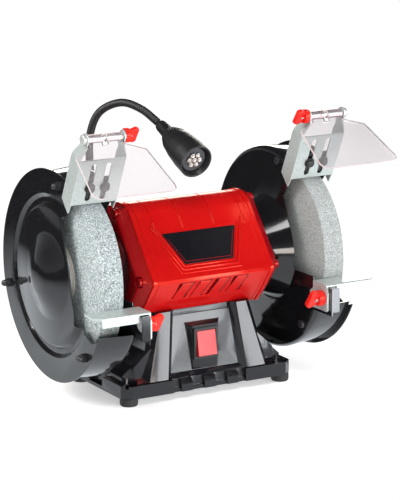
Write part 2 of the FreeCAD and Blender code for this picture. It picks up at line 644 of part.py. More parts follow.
def tool_rests():
    NODES["right_tool_rest"] = tool_rest(REST_GAP["right"])
    NODES["left_tool_rest"] = mirrored(tool_rest(REST_GAP["left"]))
    knob_face = leg_in_x() - PART_GAP
    shank_end = knob_face - REST_KNOB["collar_l"] - 3.0
    shank = rod_x(REST_BOLT_R, shank_end, GUARD_IN_X + SHEET, -REST_BOLT_Y, REST_BOLT_Z)
    head_x = GUARD_IN_X + SHEET
    head = rod_x(8.0, head_x, head_x + 3.0, -REST_BOLT_Y, REST_BOLT_Z)
    head = rounded(head, 2.0, lambda e: e.BoundBox.XMin > head_x + 2.5 and e.BoundBox.XLength < 0.1)
    bolt = joined([shank, head])
    NODES["rest_bolts"] = group([mirrored(bolt), bolt])
    knob = wing_knob(REST_KNOB, knob_face, -REST_BOLT_Y, REST_BOLT_Z, REST_BOLT_R + BORE_FIT)
    both_sides("rest_knob", knob)


# ---- spark deflectors and eye shields -----------------------------------------------------------
def screw_xs():
    return (BRACKET_X - SLOT_GAP / 2.0, BRACKET_X + SLOT_GAP / 2.0)


def deflector_bracket():
    """Folded channel: a slotted front plate, two flanges and two jogged ears."""
    half = BRACKET_W / 2.0
    ear = EAR_W / 2.0
    front = -BRACKET_FRONT
    back = front + BRACKET_DEPTH
    x0, x1 = BRACKET_X - half, BRACKET_X + half
    plate = box((x0, x1), (front, front + SHEET), (BRACKET_BOTTOM, BRACKET_TOP))
    side = prism_x([(front + 2.0, BRACKET_BOTTOM - 11.0), (front, BRACKET_BOTTOM), (front, BRACKET_TOP),
                    (-EAR_AHEAD - EAR_R, EAR_ALONG - 6.0), (-EAR_AHEAD - EAR_R, EAR_ALONG),
                    (-EAR_AHEAD + EAR_R, EAR_ALONG), (-EAR_AHEAD + EAR_R, EAR_ALONG - 6.0),
                    (back, BRACKET_TOP - 4.0), (back, BRACKET_BOTTOM - 3.0)], x0 - 1.0, x1 + 1.0)
    side = side.fuse(rod_x(EAR_R, x0 - 1.0, x1 + 1.0, -EAR_AHEAD, EAR_ALONG))
    jog_low, jog_high = BRACKET_TOP + 2.0, EAR_ALONG - EAR_R - 2.0
    strips = []
    for sign in (-1.0, 1.0):
        outer = [(sign * half, BRACKET_BOTTOM - 12.0), (sign * half, jog_low), (sign * ear, jog_high),
                 (sign * ear, EAR_ALONG + EAR_R + 1.0)]
        inner = [(x - sign * SHEET, z) for x, z in outer]
        strip = prism_y([(BRACKET_X + x, z) for x, z in outer + inner[::-1]], front - 1.0, back + 1.0)
        strips.append(strip.common(side))
    bracket = joined([plate] + strips)
    bracket = bracket.cut(rod_x(PIVOT_R + 0.2, x0 - 1.0, x1 + 1.0, -EAR_AHEAD, EAR_ALONG))
    for x in screw_xs():
        width = (x - SLOT_W / 2.0, x + SLOT_W / 2.0)
        slot = box(width, (front - 1.0, front + SHEET + 1.0), (SLOT_LOW, SLOT_HIGH))
        for z in (SLOT_LOW, SLOT_HIGH):
            slot = slot.fuse(Part.makeCylinder(SLOT_W / 2.0, SHEET + 2.0, V(x, front - 1.0, z), V(0, 1, 0)))
        bracket = bracket.cut(slot)
    return leaned(bracket)


def deflector_screws():
    """Two pan-head screws a side, each with its washer, through the slots into the guard's tab."""
    face = -BRACKET_FRONT - PART_GAP
    solids = []
    for x in screw_xs():
        shank = Part.makeCylinder(SCREW_R, 12.0, V(x, face - 1.2, SCREW_ALONG), V(0, 1, 0))
        washer = Part.makeCylinder(6.0, 1.2, V(x, face - 1.2, SCREW_ALONG), V(0, 1, 0))
        head = Part.makeCylinder(4.4, 3.4, V(x, face - 4.6, SCREW_ALONG), V(0, 1, 0))
        head = rounded(head, 1.3, lambda e: e.BoundBox.YMax < face - 4.0)
        nut_y = face + SHEET * 2.0 + PART_GAP * 2.0
        nut = Part.makeCylinder(4.4, 3.6, V(x, nut_y, SCREW_ALONG), V(0, 1, 0))
        solids.append(leaned(joined([shank, washer, head, nut])))
    return solids


def eye_shield(x_mid, y, z, hang_deg):
    """Clear shield with two knuckles on the pivot bolt; it hangs forward by hang_deg."""
    sheet = prism_y([(x_mid + u, -w) for u, w in SHIELD_OUTLINE], -SHIELD_T / 2.0, SHIELD_T / 2.0)
    pieces = [sheet]
    for u0, u1 in KNUCKLES:
        pieces.append(rod_x(KNUCKLE_R, x_mid + u0, x_mid + u1, 0, 0))
        web = (x_mid + u0 + 1.0, x_mid + u1 - 1.0)
        pieces.append(box(web, (-SHIELD_T / 2.0, SHIELD_T / 2.0), (-10.0, -3.5)))
    shield = joined(pieces).cut(rod_x(PIVOT_R + BORE_FIT, x_mid - 40.0, x_mid + 40.0, 0, 0))
    shield.rotate(V(0, 0, 0), V(1, 0, 0), -hang_deg)
    shield.translate(V(0, y, z))
    return shield


def deflectors():
    both_sides("deflector_bracket", deflector_bracket())
    screws = deflector_screws()
    NODES["deflector_screws"] = group([mirrored(s) for s in screws] + screws)
    y, z = leaned_point(EAR_AHEAD, EAR_ALONG)
    inner = BRACKET_X - EAR_W / 2.0
    outer = BRACKET_X + EAR_W / 2.0
    shank = rod_x(PIVOT_R, inner - PART_GAP - PIVOT_KNOB["collar_l"] - 3.0, outer, y, z)
    head = rod_x(5.2, outer, outer + 4.0, y, z)
    head = rounded(head, 1.0, lambda e: e.BoundBox.XMin > outer + 3.0 and e.BoundBox.XLength < 0.1)
    both_sides("pivot_bolt", joined([shank, head]))
    both_sides("deflector_knob", wing_knob(PIVOT_KNOB, inner - PART_GAP, y, z, PIVOT_R + BORE_FIT))
    NODES["right_eye_shield"] = eye_shield(BRACKET_X, y, z, SHIELD_HANG_DEG["right"])
    NODES["left_eye_shield"] = eye_shield(-BRACKET_X, y, z, SHIELD_HANG_DEG["left"])


# ---- base ------------------------------------------------------------------------------------------
def plinth():
    cut = 10.0
    side = 9.0
    x, y = PLINTH_X, PLINTH_Y
    outline = [(x - cut, -y), (x, -y + side), (x, y - side), (x - cut, y),
               (-x + cut, y), (-x, y - side), (-x, -y + side), (-x + cut, -y)]
    slab = prism_z(outline, FOOT_H, PLINTH_TOP)
    block_x, block_y, set_back = 45.5, 15.0, 6.0
    for s in (-1.0, 1.0):
        slab = slab.cut(box((-block_x, block_x), sorted((s * (y - set_back), s * (y + 5.0))),
                            (FOOT_H + 4.0, PLINTH_TOP + 1.0)))
        slab = slab.cut(box((-block_x, block_x), sorted((s * (y - 2.5), s * (y + 5.0))),
                            (FOOT_H - 1.0, PLINTH_TOP + 1.0)))
        slab = slab.cut(box(sorted((s * (x - set_back), s * (x + 5.0))), (-block_y, block_y),
                            (FOOT_H + 4.0, PLINTH_TOP + 1.0)))
    ribs = []
    for s in (-1.0, 1.0):
        for rib_x in (-29.0, 0.0, 29.0):
            ribs.append(prism_x([(s * (y - set_back - 1.0), FOOT_H), (s * (y - 0.5), FOOT_H),
                                 (s * (y - 0.5), PLINTH_TOP - 6.0), (s * (y - 3.0), PLINTH_TOP - 1.0),
                                 (s * (y - set_back - 1.0), PLINTH_TOP)], rib_x - 7.0, rib_x + 7.0))
    return joined([slab] + ribs)


def pedestal_block(foot_x, top_x, foot_y, top_y, foot_z, top_z):
    """A block that narrows upwards."""
    sections = []
    for half_x, half_y, z in ((foot_x, foot_y, foot_z), (top_x, top_y, top_z)):
        corners = ((-1, -1), (1, -1), (1, 1), (-1, 1), (-1, -1))
        sections.append(Part.makePolygon([V(sx * half_x, sy * half_y, z) for sx, sy in corners]))
    return Part.makeLoft(sections, True, True)


def pillar():
    """Right front pillar: a tapered rib with chamfered sides."""
    sections = []
    for z, y, x_in, x_out in ((PLINTH_TOP, PEDESTAL_FOOT_Y, PANEL_FOOT_X, PILLAR_FOOT_X),
                              (PEDESTAL_TOP, PEDESTAL_TOP_Y, PANEL_TOP_X, PILLAR_TOP_X)):
        back = PANEL_SET_BACK
        outline = [(x_in - back - 1.0, -y + back + 3.0), (x_in - back, -y + back), (x_in, -y), (x_out, -y),
                   (x_out + back, -y + back), (x_out + back, -y + back + 3.0)]
        sections.append(Part.makePolygon([V(px, py, z) for px, py in outline + outline[:1]]))
    return Part.makeLoft(sections, True, True)


def switch_face_y():
    """Front of the hood that holds the switch."""
    return -(PEDESTAL_FOOT_Y - PANEL_SET_BACK) - 0.5


def switch_hood():
    """A hood whose front stands upright on the sloping panel, with splayed cheeks."""
    half = SWITCH_W / 2.0
    front_y = switch_face_y()
    sections = []
    back = (front_y + 14.5, half + 2.5, half + 11.0, HOOD_TOP_Z + 3.0)
    front = (front_y, half + 0.5, half + 0.8, HOOD_TOP_Z - 2.0)
    for y, low, high, high_z in (back, front):
        corners = ((-low, HOOD_BOTTOM_Z), (low, HOOD_BOTTOM_Z), (high, high_z), (-high, high_z),
                   (-low, HOOD_BOTTOM_Z))
        sections.append(Part.makePolygon([V(x, y, z) for x, z in corners]))
    return Part.makeLoft(sections, True, True)


def plate_outline(around, z0, z1):
    """Two crossed blocks: the base plate's outline, or the opening it sits in."""
    wide, narrow = PLINTH_X - 7.5 + around, PLINTH_X - 23.5 + around
    deep, shallow = 51.5 + around, 41.5 + around
    return [box((-narrow, narrow), (-deep, deep), (z0, z1)),
            box((-wide, wide), (-shallow, shallow), (z0, z1))]


def base_housing():
    foot_z, top_z = PLINTH_TOP, PEDESTAL_TOP
    panel_foot_y = PEDESTAL_FOOT_Y - PANEL_SET_BACK
    slope = (PEDESTAL_FOOT_Y - PEDESTAL_TOP_Y) / (top_z - foot_z)
    panel_top_y = panel_foot_y - slope * (PANEL_TOP - foot_z)
    side = PANEL_SET_BACK
    core = pedestal_block(PILLAR_FOOT_X + side, PILLAR_TOP_X + side + 1.0, panel_foot_y, panel_top_y,
                          foot_z, PANEL_TOP)
    pillars = [pillar()]
    pillars.append(mirrored(pillars[0]))
    pillars += [p.mirror(V(0, 0, 0), V(0, 1, 0)) for p in pillars]
    wing_x = PLINTH_X - 7.0
    wing_rise = [(50.0, foot_z), (wing_x, foot_z), (wing_x, foot_z + 6.0), (68.0, 58.0), (50.0, 58.0)]
    wings = prism_y(wing_rise, -panel_foot_y + 1.0, panel_foot_y - 1.0)
    shoulder = pedestal_block(PLINTH_X - 7.0, PLINTH_X - 14.0, PLINTH_Y - 6.0, panel_foot_y - 1.0,
                              foot_z, foot_z + 4.5)
    body = joined([core, wings, mirrored(wings), shoulder, plinth(), switch_hood()] + pillars)
    wall = BASE_WALL
    cavity = pedestal_block(PILLAR_FOOT_X + side - wall, PILLAR_TOP_X + side - wall, panel_foot_y - wall,
                            panel_top_y - wall, foot_z - 4.0, PANEL_TOP - wall)
    throat = box((-76.0, 76.0), (-48.0, 48.0), (foot_z - 4.0, foot_z + 8.0))
    hollow = [cavity, throat] + plate_outline(0.5, FOOT_H - 1.0, foot_z - 2.0)
    for shape in hollow:
        body = body.cut(shape)
    shelf = pedestal_block(PILLAR_TOP_X, PILLAR_TOP_X, panel_top_y - 2.0, panel_top_y - 2.0,
                           PANEL_TOP - wall, top_z)
    body = joined([body, shelf])
    body = body.cut(housing_solid(0.0, -HALF_L - 40.0, HALF_L + 40.0))
    body = body.cut(switch_block(SWITCH_W - 4.0, SWITCH_H - 4.0, -3.0, 30.0))
    for x, y in foot_spots():
        body = body.cut(Part.makeCylinder(BENCH_BOLT_R, foot_z + 8.0, V(x, y, 0)))
        body = body.cut(Part.makeCylinder(9.0, 20.0, V(x, y, foot_z - 3.0)))
        body = body.cut(Part.makeCylinder(6.5, 4.0, V(x, y, FOOT_H - 0.1)))
    body = body.cut(Part.makeCylinder(GLAND_R, 30.0, V(GLAND_X, panel_foot_y - 20.0, GLAND_Z), V(0, 1, 0)))
    for x, y in housing_screw_spots():
        body = body.cut(Part.makeCylinder(2.6, 14.0, V(x, y, top_z - 12.0)))
    return body.removeSplitter()


def foot_spots():
    return [(sx * FOOT_X, sy * FOOT_Y) for sx in (-1.0, 1.0) for sy in (-1.0, 1.0)]


def housing_screw_spots():
    return [(sx * 36.0, sy * 24.0) for sx in (-1.0, 1.0) for sy in (-1.0, 1.0)]


def switch_block(width, height, ahead, deep):
    """A block behind the hood's front, from `ahead` (negative: in front of it) to `deep`."""
    front_y = switch_face_y()
    return box((-width / 2.0, width / 2.0), (front_y + ahead, front_y + deep),
               (SWITCH_Z - height / 2.0, SWITCH_Z + height / 2.0))


def switch_rocker():
    """A rocker with ends rounded about its pivot; its lower half stands proud when it is off."""
    pivot_y = switch_face_y() - 1.0
    half = ROCKER_H / 2.0
    outline = [(pivot_y + 5.0, SWITCH_Z), (pivot_y + 1.0, SWITCH_Z + half), (pivot_y - 0.8, SWITCH_Z + half),
               (pivot_y - 3.4, SWITCH_Z), (pivot_y - 6.2, SWITCH_Z - half), (pivot_y - 1.2, SWITCH_Z - half)]
    width = ROCKER_W - 1.0
    block = prism_x(outline, -width / 2.0, width / 2.0)
    return block.common(rod_x(half - PART_GAP, -width, width, pivot_y, SWITCH_Z))


def base_group():
    NODES["base_housing"] = base_housing()
    NODES["base_plate"] = joined(plate_outline(0.0, FOOT_H, FOOT_H + SHEET))
    feet = []
    for x, y in foot_spots():
        pad = Part.makeCone(FOOT_R - 1.0, FOOT_R, 2.0, V(x, y, 0))
        pad = pad.fuse(Part.makeCylinder(FOOT_R, FOOT_H - 2.0, V(x, y, 2.0)))
        pad = pad.fuse(Part.makeCylinder(6.5, 3.8, V(x, y, FOOT_H)))
        feet.append(pad.cut(Part.makeCylinder(BENCH_BOLT_R, FOOT_H + 6.0, V(x, y, -1.0))).removeSplitter())
    NODES["rubber_feet"] = group(feet)
    screws = []
    for x, y in housing_screw_spots():
        top = HOUSING_FOOT_Z + HOUSING_WALL
        shank = Part.makeCylinder(2.5, top - PANEL_TOP + 5.0, V(x, y, PANEL_TOP - 5.0))
        head = Part.makeCylinder(4.5, 3.0, V(x, y, top))
        screws.append(joined([shank, head]))
        hole = Part.makeCylinder(2.6, 12.0, V(x, y, HOUSING_FOOT_Z - 4.0))
        NODES["motor_housing"] = NODES["motor_housing"].cut(hole)
    NODES["housing_screws"] = group(screws)


def electrics():
    bezel = switch_block(SWITCH_W, SWITCH_H, -2.5, 0.0)
    bezel = bezel.fuse(switch_block(SWITCH_W - 4.2, SWITCH_H - 4.2, 0.0, 6.0))
    NODES["switch_bezel"] = bezel.cut(switch_block(ROCKER_W, ROCKER_H, -5.0, 7.0)).removeSplitter()
    NODES["switch_body"] = switch_block(SWITCH_W - 4.2, SWITCH_H - 4.2, 6.0, 24.0)
    NODES["switch_rocker"] = switch_rocker()
    panel_y = PEDESTAL_FOOT_Y - PANEL_SET_BACK
    gland = Part.makeCylinder(GLAND_R, 12.0, V(GLAND_X, panel_y - 12.0, GLAND_Z), V(0, 1, 0))
    collar = Part.makeCylinder(GLAND_R + 2.5, 6.0, V(GLAND_X, panel_y - 1.0, GLAND_Z), V(0, 1, 0))
    bore = Part.makeCylinder(CORD_R, 30.0, V(GLAND_X, panel_y - 20.0, GLAND_Z), V(0, 1, 0))
    NODES["cable_gland"] = joined([gland, collar]).cut(bore)
    can_r = 17.0
    can = rod_x(can_r, -62.0, -8.0, 18.0, FOOT_H + SHEET + can_r)
    can = rounded(can, 2.0, lambda e: e.BoundBox.XLength < 0.1)
    NODES["capacitor"] = can
    NODES["terminal_block"] = box((10.0, 44.0), (8.0, 24.0), (FOOT_H + SHEET, FOOT_H + SHEET + 14.0))
    badge = [(-46.0, SPINDLE_Z + 40.0), (46.0, SPINDLE_Z + 40.0),
             (30.0, SPINDLE_Z + 10.0), (-30.0, SPINDLE_Z + 10.0)]
    slab = prism_y(badge, -RIDGE_Y - 10.0, 0.0)
    raised = 0.8
    shell = housing_solid(-raised, -HALF_L, HALF_L).cut(housing_solid(0.0, -HALF_L - 1.0, HALF_L + 1.0))
    NODES["badge_plate"] = slab.common(shell)


# ---- lamp -------------------------------------------------------------------------------------------
def neck_piece(points, gap_start, gap_end):
    """A bent tube through three points: an arc with round ends that stop short of the joints."""
    arc = Part.Arc(*points)
    length = arc.length()
    first, last = arc.FirstParameter, arc.LastParameter
    t0 = arc.parameterAtDistance(gap_start, first)
    t1 = arc.parameterAtDistance(length - gap_end, first)
    path = Part.Wire([arc.toShape(t0, t1)])
    start, end = arc.value(t0), arc.value(t1)
    tangent = arc.tangent(t0)[0]
    circle = Part.Wire([Part.makeCircle(NECK_R, start, tangent)])
    tube = path.makePipeShell([circle], True, True)
    ball = NECK_R - 0.02
    return joined([tube, Part.makeSphere(ball, start), Part.makeSphere(ball, end)])


def lamp():
    elbow, crown, collar = (NECK_ROUTE[k] for k in ("elbow", "crown", "collar"))
    stop = NECK_R + NECK_GAP / 2.0
    # boss on the rear ridge of the housing
    boss_top = SOCKET_Z - 6.0
    boss = box((STEM_X - 10.0, STEM_X + 10.0), (RIDGE_Y - 22.0, STEM_Y + 9.0), (RIDGE_Z - 18.0, boss_top))
    boss = rounded(boss, 4.0, lambda e: e.BoundBox.ZLength > 20.0 and e.BoundBox.YMin > STEM_Y)
    boss = boss.cut(housing_solid(0.0, -HALF_L - 20.0, HALF_L + 20.0))
    boss = joined([boss, Part.makeCylinder(8.5, 6.0, V(STEM_X, STEM_Y, boss_top))])
    bore = Part.makeCylinder(NECK_R + 0.1, 30.0, V(STEM_X, STEM_Y, SOCKET_Z - 22.0))
    NODES["lamp_socket"] = boss.cut(bore)
    stem_low = SOCKET_Z - 21.0
    stem = Part.makeCylinder(NECK_R, elbow.z - stop - stem_low, V(STEM_X, STEM_Y, stem_low))
    stem = joined([stem, Part.makeSphere(NECK_R - 0.02, V(STEM_X, STEM_Y, elbow.z - stop))])
    ferrule = Part.makeCylinder(NECK_R + 3.0, 9.0, V(STEM_X, STEM_Y, SOCKET_Z + PART_GAP))
    NODES["lamp_neck_lower"] = joined([stem, ferrule])
    dip = math.radians(HEAD_DIP_DEG)
    ahead = V(0, -math.cos(dip), -math.sin(dip))
    middle_bow = (elbow + crown) * 0.5 + V(-4.5, 5.0, 6.5)
    upper_bow = (crown + collar) * 0.5 + V(1.2, -1.5, 3.4)
    NODES["lamp_neck_middle"] = neck_piece((elbow, middle_bow, crown), stop, stop)
    NODES["lamp_neck_upper"] = neck_piece((crown, upper_bow, collar), stop, stop)
    # head: collar, bell and a shallow mouth for the light
    bell, mouth = HEAD_COLLAR_L, HEAD_COLLAR_L + HEAD_BELL_L
    axis_profile = [(stop, 0.0), (stop, 3.6), (stop + 1.5, 6.2), (bell - 1.0, 7.0), (bell + 3.0, 10.0),
                    (bell + 12.0, 13.8), (bell + 26.0, 16.8), (bell + 44.0, 18.6), (mouth, HEAD_R),
                    (mouth, HEAD_R - 1.8), (mouth - 7.0, HEAD_R - 5.0), (mouth - 7.0, 0.0)]
    face = face_of([V(along, 0, r) for along, r in axis_profile])
    head = face.revolve(V(0, 0, 0), V(1, 0, 0), 360)
    light_x = mouth - 7.0
    lens = Part.makeCylinder(HEAD_R - 5.2, 1.5, V(light_x, 0, 0), V(1, 0, 0))
    lens = lens.fuse(Part.makeCylinder(2.4, 2.5, V(light_x + 0.5, 0, 0), V(1, 0, 0)))
    for i in range(6):
        angle = math.radians(60.0 * i)
        spot = V(light_x + 0.5, 6.2 * math.cos(angle), 6.2 * math.sin(angle))
        lens = lens.fuse(Part.makeCylinder(2.4, 2.5, spot, V(1, 0, 0)))
    turn = FreeCAD.Rotation(V(1, 0, 0), ahead)
    place = FreeCAD.Placement(collar, turn)
    for name, shape in (("lamp_head", head), ("lamp_leds", lens.removeSplitter())):
        shape = shape.copy()
        shape.Placement = place
        NODES[name] = shape


# ---- build and write ---------------------------------------------------------------------------------
NODES["motor_housing"] = motor_housing()
spindle_group()
bearings()
stator()
end_shields()
guards()
tool_rests()
deflectors()
base_group()
electrics()
lamp()

os.makedirs("parts", exist_ok=True)
for node, shape in NODES.items():
    shape.exportStep("parts/" + node + ".step")
    solids = shape.Solids
    volume = sum(s.Volume for s in solids)
    print("%-24s %2d solids  %10.1f mm3  valid %s" % (node, len(solids), volume, shape.isValid()))
print(len(NODES), "nodes")
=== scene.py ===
"""Bench grinder: finished surfaces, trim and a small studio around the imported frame."""
import json
import math

import bmesh
import bpy
from bpy.props import FloatProperty, FloatVectorProperty, IntProperty, PointerProperty
from mathutils import Matrix, Vector

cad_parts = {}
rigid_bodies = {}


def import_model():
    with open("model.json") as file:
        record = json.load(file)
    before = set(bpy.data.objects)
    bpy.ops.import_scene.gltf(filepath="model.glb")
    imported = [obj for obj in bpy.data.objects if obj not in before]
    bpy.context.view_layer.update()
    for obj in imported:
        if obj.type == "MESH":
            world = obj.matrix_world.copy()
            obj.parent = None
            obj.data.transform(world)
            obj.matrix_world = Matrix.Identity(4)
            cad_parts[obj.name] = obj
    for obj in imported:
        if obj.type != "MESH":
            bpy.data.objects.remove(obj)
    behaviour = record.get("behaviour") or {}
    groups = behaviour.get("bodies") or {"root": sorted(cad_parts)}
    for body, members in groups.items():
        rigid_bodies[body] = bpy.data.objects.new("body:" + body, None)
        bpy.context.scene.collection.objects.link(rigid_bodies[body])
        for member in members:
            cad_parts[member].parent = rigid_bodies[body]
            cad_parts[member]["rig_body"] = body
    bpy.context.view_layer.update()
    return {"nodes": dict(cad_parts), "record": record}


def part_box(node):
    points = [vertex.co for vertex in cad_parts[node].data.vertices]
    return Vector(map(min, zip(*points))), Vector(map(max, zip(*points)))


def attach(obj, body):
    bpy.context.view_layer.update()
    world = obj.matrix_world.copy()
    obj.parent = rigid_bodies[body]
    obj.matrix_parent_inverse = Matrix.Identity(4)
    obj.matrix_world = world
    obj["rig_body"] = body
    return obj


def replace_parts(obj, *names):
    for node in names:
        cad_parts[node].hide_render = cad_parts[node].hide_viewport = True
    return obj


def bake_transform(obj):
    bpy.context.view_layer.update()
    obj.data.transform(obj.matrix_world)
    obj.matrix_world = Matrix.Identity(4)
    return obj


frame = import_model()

bl_info = {
    "name": "Bench grinder dressing",
    "version": (1, 0, 0),
    "blender": (4, 5, 0),
    "location": "3D View > Sidebar > Grinder",
    "description": "Builds the visible pieces, finishes and studio of a bench grinder",
    "category": "Object",
}

NODES = frame["nodes"]


# ---- what a user may change ------------------------------------------------------------
def tint(name, description, default):
    return FloatVectorProperty(name=name, description=description, default=default, size=3,
                               min=0.0, max=1.0, subtype="COLOR")


def length(name, description, default):
    return FloatProperty(name=name, description=description, default=default, min=0.0,
                         unit="LENGTH", subtype="DISTANCE", precision=5)


class GrinderSizes(bpy.types.PropertyGroup):
    """Small sizes that the looks add to the frame."""
    sheet_edge: length("Sheet edge", "Rounding along the edges of pressed steel", 0.0004)
    cast_edge: length("Casting edge", "Rounding along the edges of castings and mouldings", 0.0007)
    knob_edge: length("Knob edge", "Rounding along the edges of the wing knobs", 0.0008)
    neck_pitch: length("Neck pitch", "Distance between two rings of the lamp's gooseneck", 0.0024)
    neck_ring: length("Neck ring", "How far each ring of the gooseneck stands out", 0.00030)
    grip_ribs: IntProperty(name="Grip ribs", description="Ribs round the throat of the lamp head",
                           default=26, min=6, max=60)


class GrinderColours(bpy.types.PropertyGroup):
    """Colours of the painted, moulded and bonded parts."""
    red_enamel: tint("Red enamel", "Motor housing", (0.60, 0.005, 0.006))
    # End shield red is the housing red made darker: painted shade, for end shields that sit in shadow.
    end_shield_shaded_red: tint("End shield red, painted shade", "Cast end shields", (0.30, 0.002, 0.006))
    black_enamel: tint("Black enamel", "Wheel guards", (0.006, 0.006, 0.007))
    base_black: tint("Base black", "Base moulding", (0.008, 0.008, 0.010))
    knob_red: tint("Knob red", "Wing knobs", (0.66, 0.010, 0.008))
    zinc: tint("Zinc", "Galvanised sheet", (0.58, 0.64, 0.62))
    coarse_grain: tint("Coarse wheel", "Light grain of the left wheel", (0.50, 0.56, 0.56))
    fine_grain: tint("Fine wheel", "Light grain of the right wheel", (0.46, 0.49, 0.48))


def sizes():
    return bpy.context.scene.grinder_sizes


def colours():
    return bpy.context.scene.grinder_colours


# ---- node building -----------------------------------------------------------------------
def add(tree, kind, values=None, **settings):
    """A node with its settings, and each input either set or linked."""
    made = tree.nodes.new(kind)
    for key, value in settings.items():
        setattr(made, key, value)
    for key, value in (values or {}).items():
        socket = made.inputs[key]
        if isinstance(value, bpy.types.NodeSocket):
            tree.links.new(value, socket)
        else:
            socket.default_value = value
    return made


def maths(tree, operation, a, b=0.5, c=None, clamp=False):
    values = {0: a, 1: b}
    if c is not None:
        values[2] = c
    return add(tree, "ShaderNodeMath", values, operation=operation, use_clamp=clamp).outputs[0]


def band(tree, value, low, high, out_low=0.0, out_high=1.0):
    """Remap a value, clamped at both ends."""
    return add(tree, "ShaderNodeMapRange", {"Value": value, "From Min": low, "From Max": high,
                                            "To Min": out_low, "To Max": out_high}).outputs["Result"]


def mixed(tree, factor, a, b, blend="MIX"):
    """Mix two colours."""
    node = add(tree, "ShaderNodeMix", data_type="RGBA", blend_type=blend)
    for index, value in ((0, factor), (6, a), (7, b)):
        if isinstance(value, bpy.types.NodeSocket):
            tree.links.new(value, node.inputs[index])
        elif index == 0:
            node.inputs[index].default_value = value
        else:
            node.inputs[index].default_value = (*value[:3], 1.0)
    return node.outputs[2]


def effect(name, inputs, outputs, build):
    """A shader node group, built once."""
    if name in bpy.data.node_groups:
        return bpy.data.node_groups[name]
    tree = bpy.data.node_groups.new(name, "ShaderNodeTree")
    for label, kind, default in inputs:
        socket = tree.interface.new_socket(label, in_out="INPUT", socket_type=kind)
        if default is not None:
            socket.default_value = default
    for label, kind in outputs:
        tree.interface.new_socket(label, in_out="OUTPUT", socket_type=kind)
    build(tree, tree.nodes.new("NodeGroupInput"), tree.nodes.new("NodeGroupOutput"))
    return tree


def placed(tree, group, values):
    """A node group placed in a material, fed with object coordinates."""
    node = tree.nodes.new("ShaderNodeGroup")
    node.node_tree = group
    where = add(tree, "ShaderNodeTexCoord").outputs["Object"]
    tree.links.new(where, node.inputs["Vector"])
    for key, value in values.items():
        node.inputs[key].default_value = value
    return node


FLOAT, COLOUR, VECTOR = "NodeSocketFloat", "NodeSocketColor", "NodeSocketVector"


def orange_peel():
    """Sprayed or moulded skin: fine ripple, slow sheen changes and a few specks of dust."""
    def build(tree, given, result):
        ripple = add(tree, "ShaderNodeTexNoise", {"Vector": given.outputs["Vector"],
                                                  "Scale": given.outputs["Scale"], "Detail": 2.0})
        slow = add(tree, "ShaderNodeTexNoise", {"Vector": given.outputs["Vector"], "Scale": 26.0, "Detail": 5.0,
                                                "Roughness": 0.62})
        speck = add(tree, "ShaderNodeTexVoronoi", {"Vector": given.outputs["Vector"], "Scale": 330.0})
        dot = band(tree, speck.outputs["Distance"], 0.06, 0.0)
        chance = band(tree, add(tree, "ShaderNodeSeparateColor", {0: speck.outputs["Color"]}).outputs[0], 0.90, 0.94)
        tree.links.new(ripple.outputs["Fac"], result.inputs["Height"])
        tree.links.new(slow.outputs["Fac"], result.inputs["Sheen change"])
        tree.links.new(maths(tree, "MULTIPLY", dot, chance), result.inputs["Dust"])
    return effect("Sprayed skin", [("Vector", VECTOR, None), ("Scale", FLOAT, 900.0)],
                  [("Height", FLOAT), ("Sheen change", FLOAT), ("Dust", FLOAT)], build)


def scuffs():
    """Hairline scratches in two directions."""
    def build(tree, given, result):
        lines = []
        for turn, seed in ((0.5, 11.0), (-0.9, 29.0)):
            spun = add(tree, "ShaderNodeVectorRotate", {"Vector": given.outputs["Vector"], "Angle": turn,
                                                        "Axis": (0.3, 0.5, 0.8)}, rotation_type="AXIS_ANGLE")
            stretched = add(tree, "ShaderNodeMapping", {"Vector": spun.outputs[0], "Location": (seed, seed, 0.0),
                                                        "Scale": (16.0, 900.0, 900.0)})
            wave = add(tree, "ShaderNodeTexNoise", {"Vector": stretched.outputs[0], "Scale": 1.0, "Detail": 1.0})
            lines.append(band(tree, wave.outputs["Fac"], 0.69, 0.76))
        both = maths(tree, "MAXIMUM", lines[0], lines[1])
        tree.links.new(maths(tree, "MULTIPLY", both, given.outputs["Amount"]), result.inputs["Scratch"])
    return effect("Hairline scratches", [("Vector", VECTOR, None), ("Amount", FLOAT, 1.0)],
                  [("Scratch", FLOAT)], build)


def spangle():
    """Zinc crystals: patches that differ in tone and gloss, with feathered edges."""
    def build(tree, given, result):
        wobble = add(tree, "ShaderNodeTexNoise", {"Vector": given.outputs["Vector"], "Scale": 240.0, "Detail": 3.0})
        moved = add(tree, "ShaderNodeVectorMath", {0: given.outputs["Vector"], 1: wobble.outputs["Color"]},
                    operation="MULTIPLY_ADD")
        moved.inputs[1].default_value = (1.0, 1.0, 1.0)
        tree.links.new(given.outputs["Vector"], moved.inputs[0])
        shift = add(tree, "ShaderNodeVectorMath", {0: wobble.outputs["Color"], 1: (0.004, 0.004, 0.004)},
                    operation="MULTIPLY")
        tree.links.new(shift.outputs[0], moved.inputs[2])
        cells = add(tree, "ShaderNodeTexVoronoi", {"Vector": moved.outputs[0], "Scale": given.outputs["Scale"]})
        tone = add(tree, "ShaderNodeSeparateColor", {0: cells.outputs["Color"]})
        fine = add(tree, "ShaderNodeTexNoise", {"Vector": given.outputs["Vector"], "Scale": 1500.0, "Detail": 2.0})
        tree.links.new(tone.outputs[0], result.inputs["Tone"])
        tree.links.new(tone.outputs[1], result.inputs["Gloss"])
        tree.links.new(fine.outputs["Fac"], result.inputs["Height"])
    return effect("Zinc spangle", [("Vector", VECTOR, None), ("Scale", FLOAT, 220.0)],
                  [("Tone", FLOAT), ("Gloss", FLOAT), ("Height", FLOAT)], build)


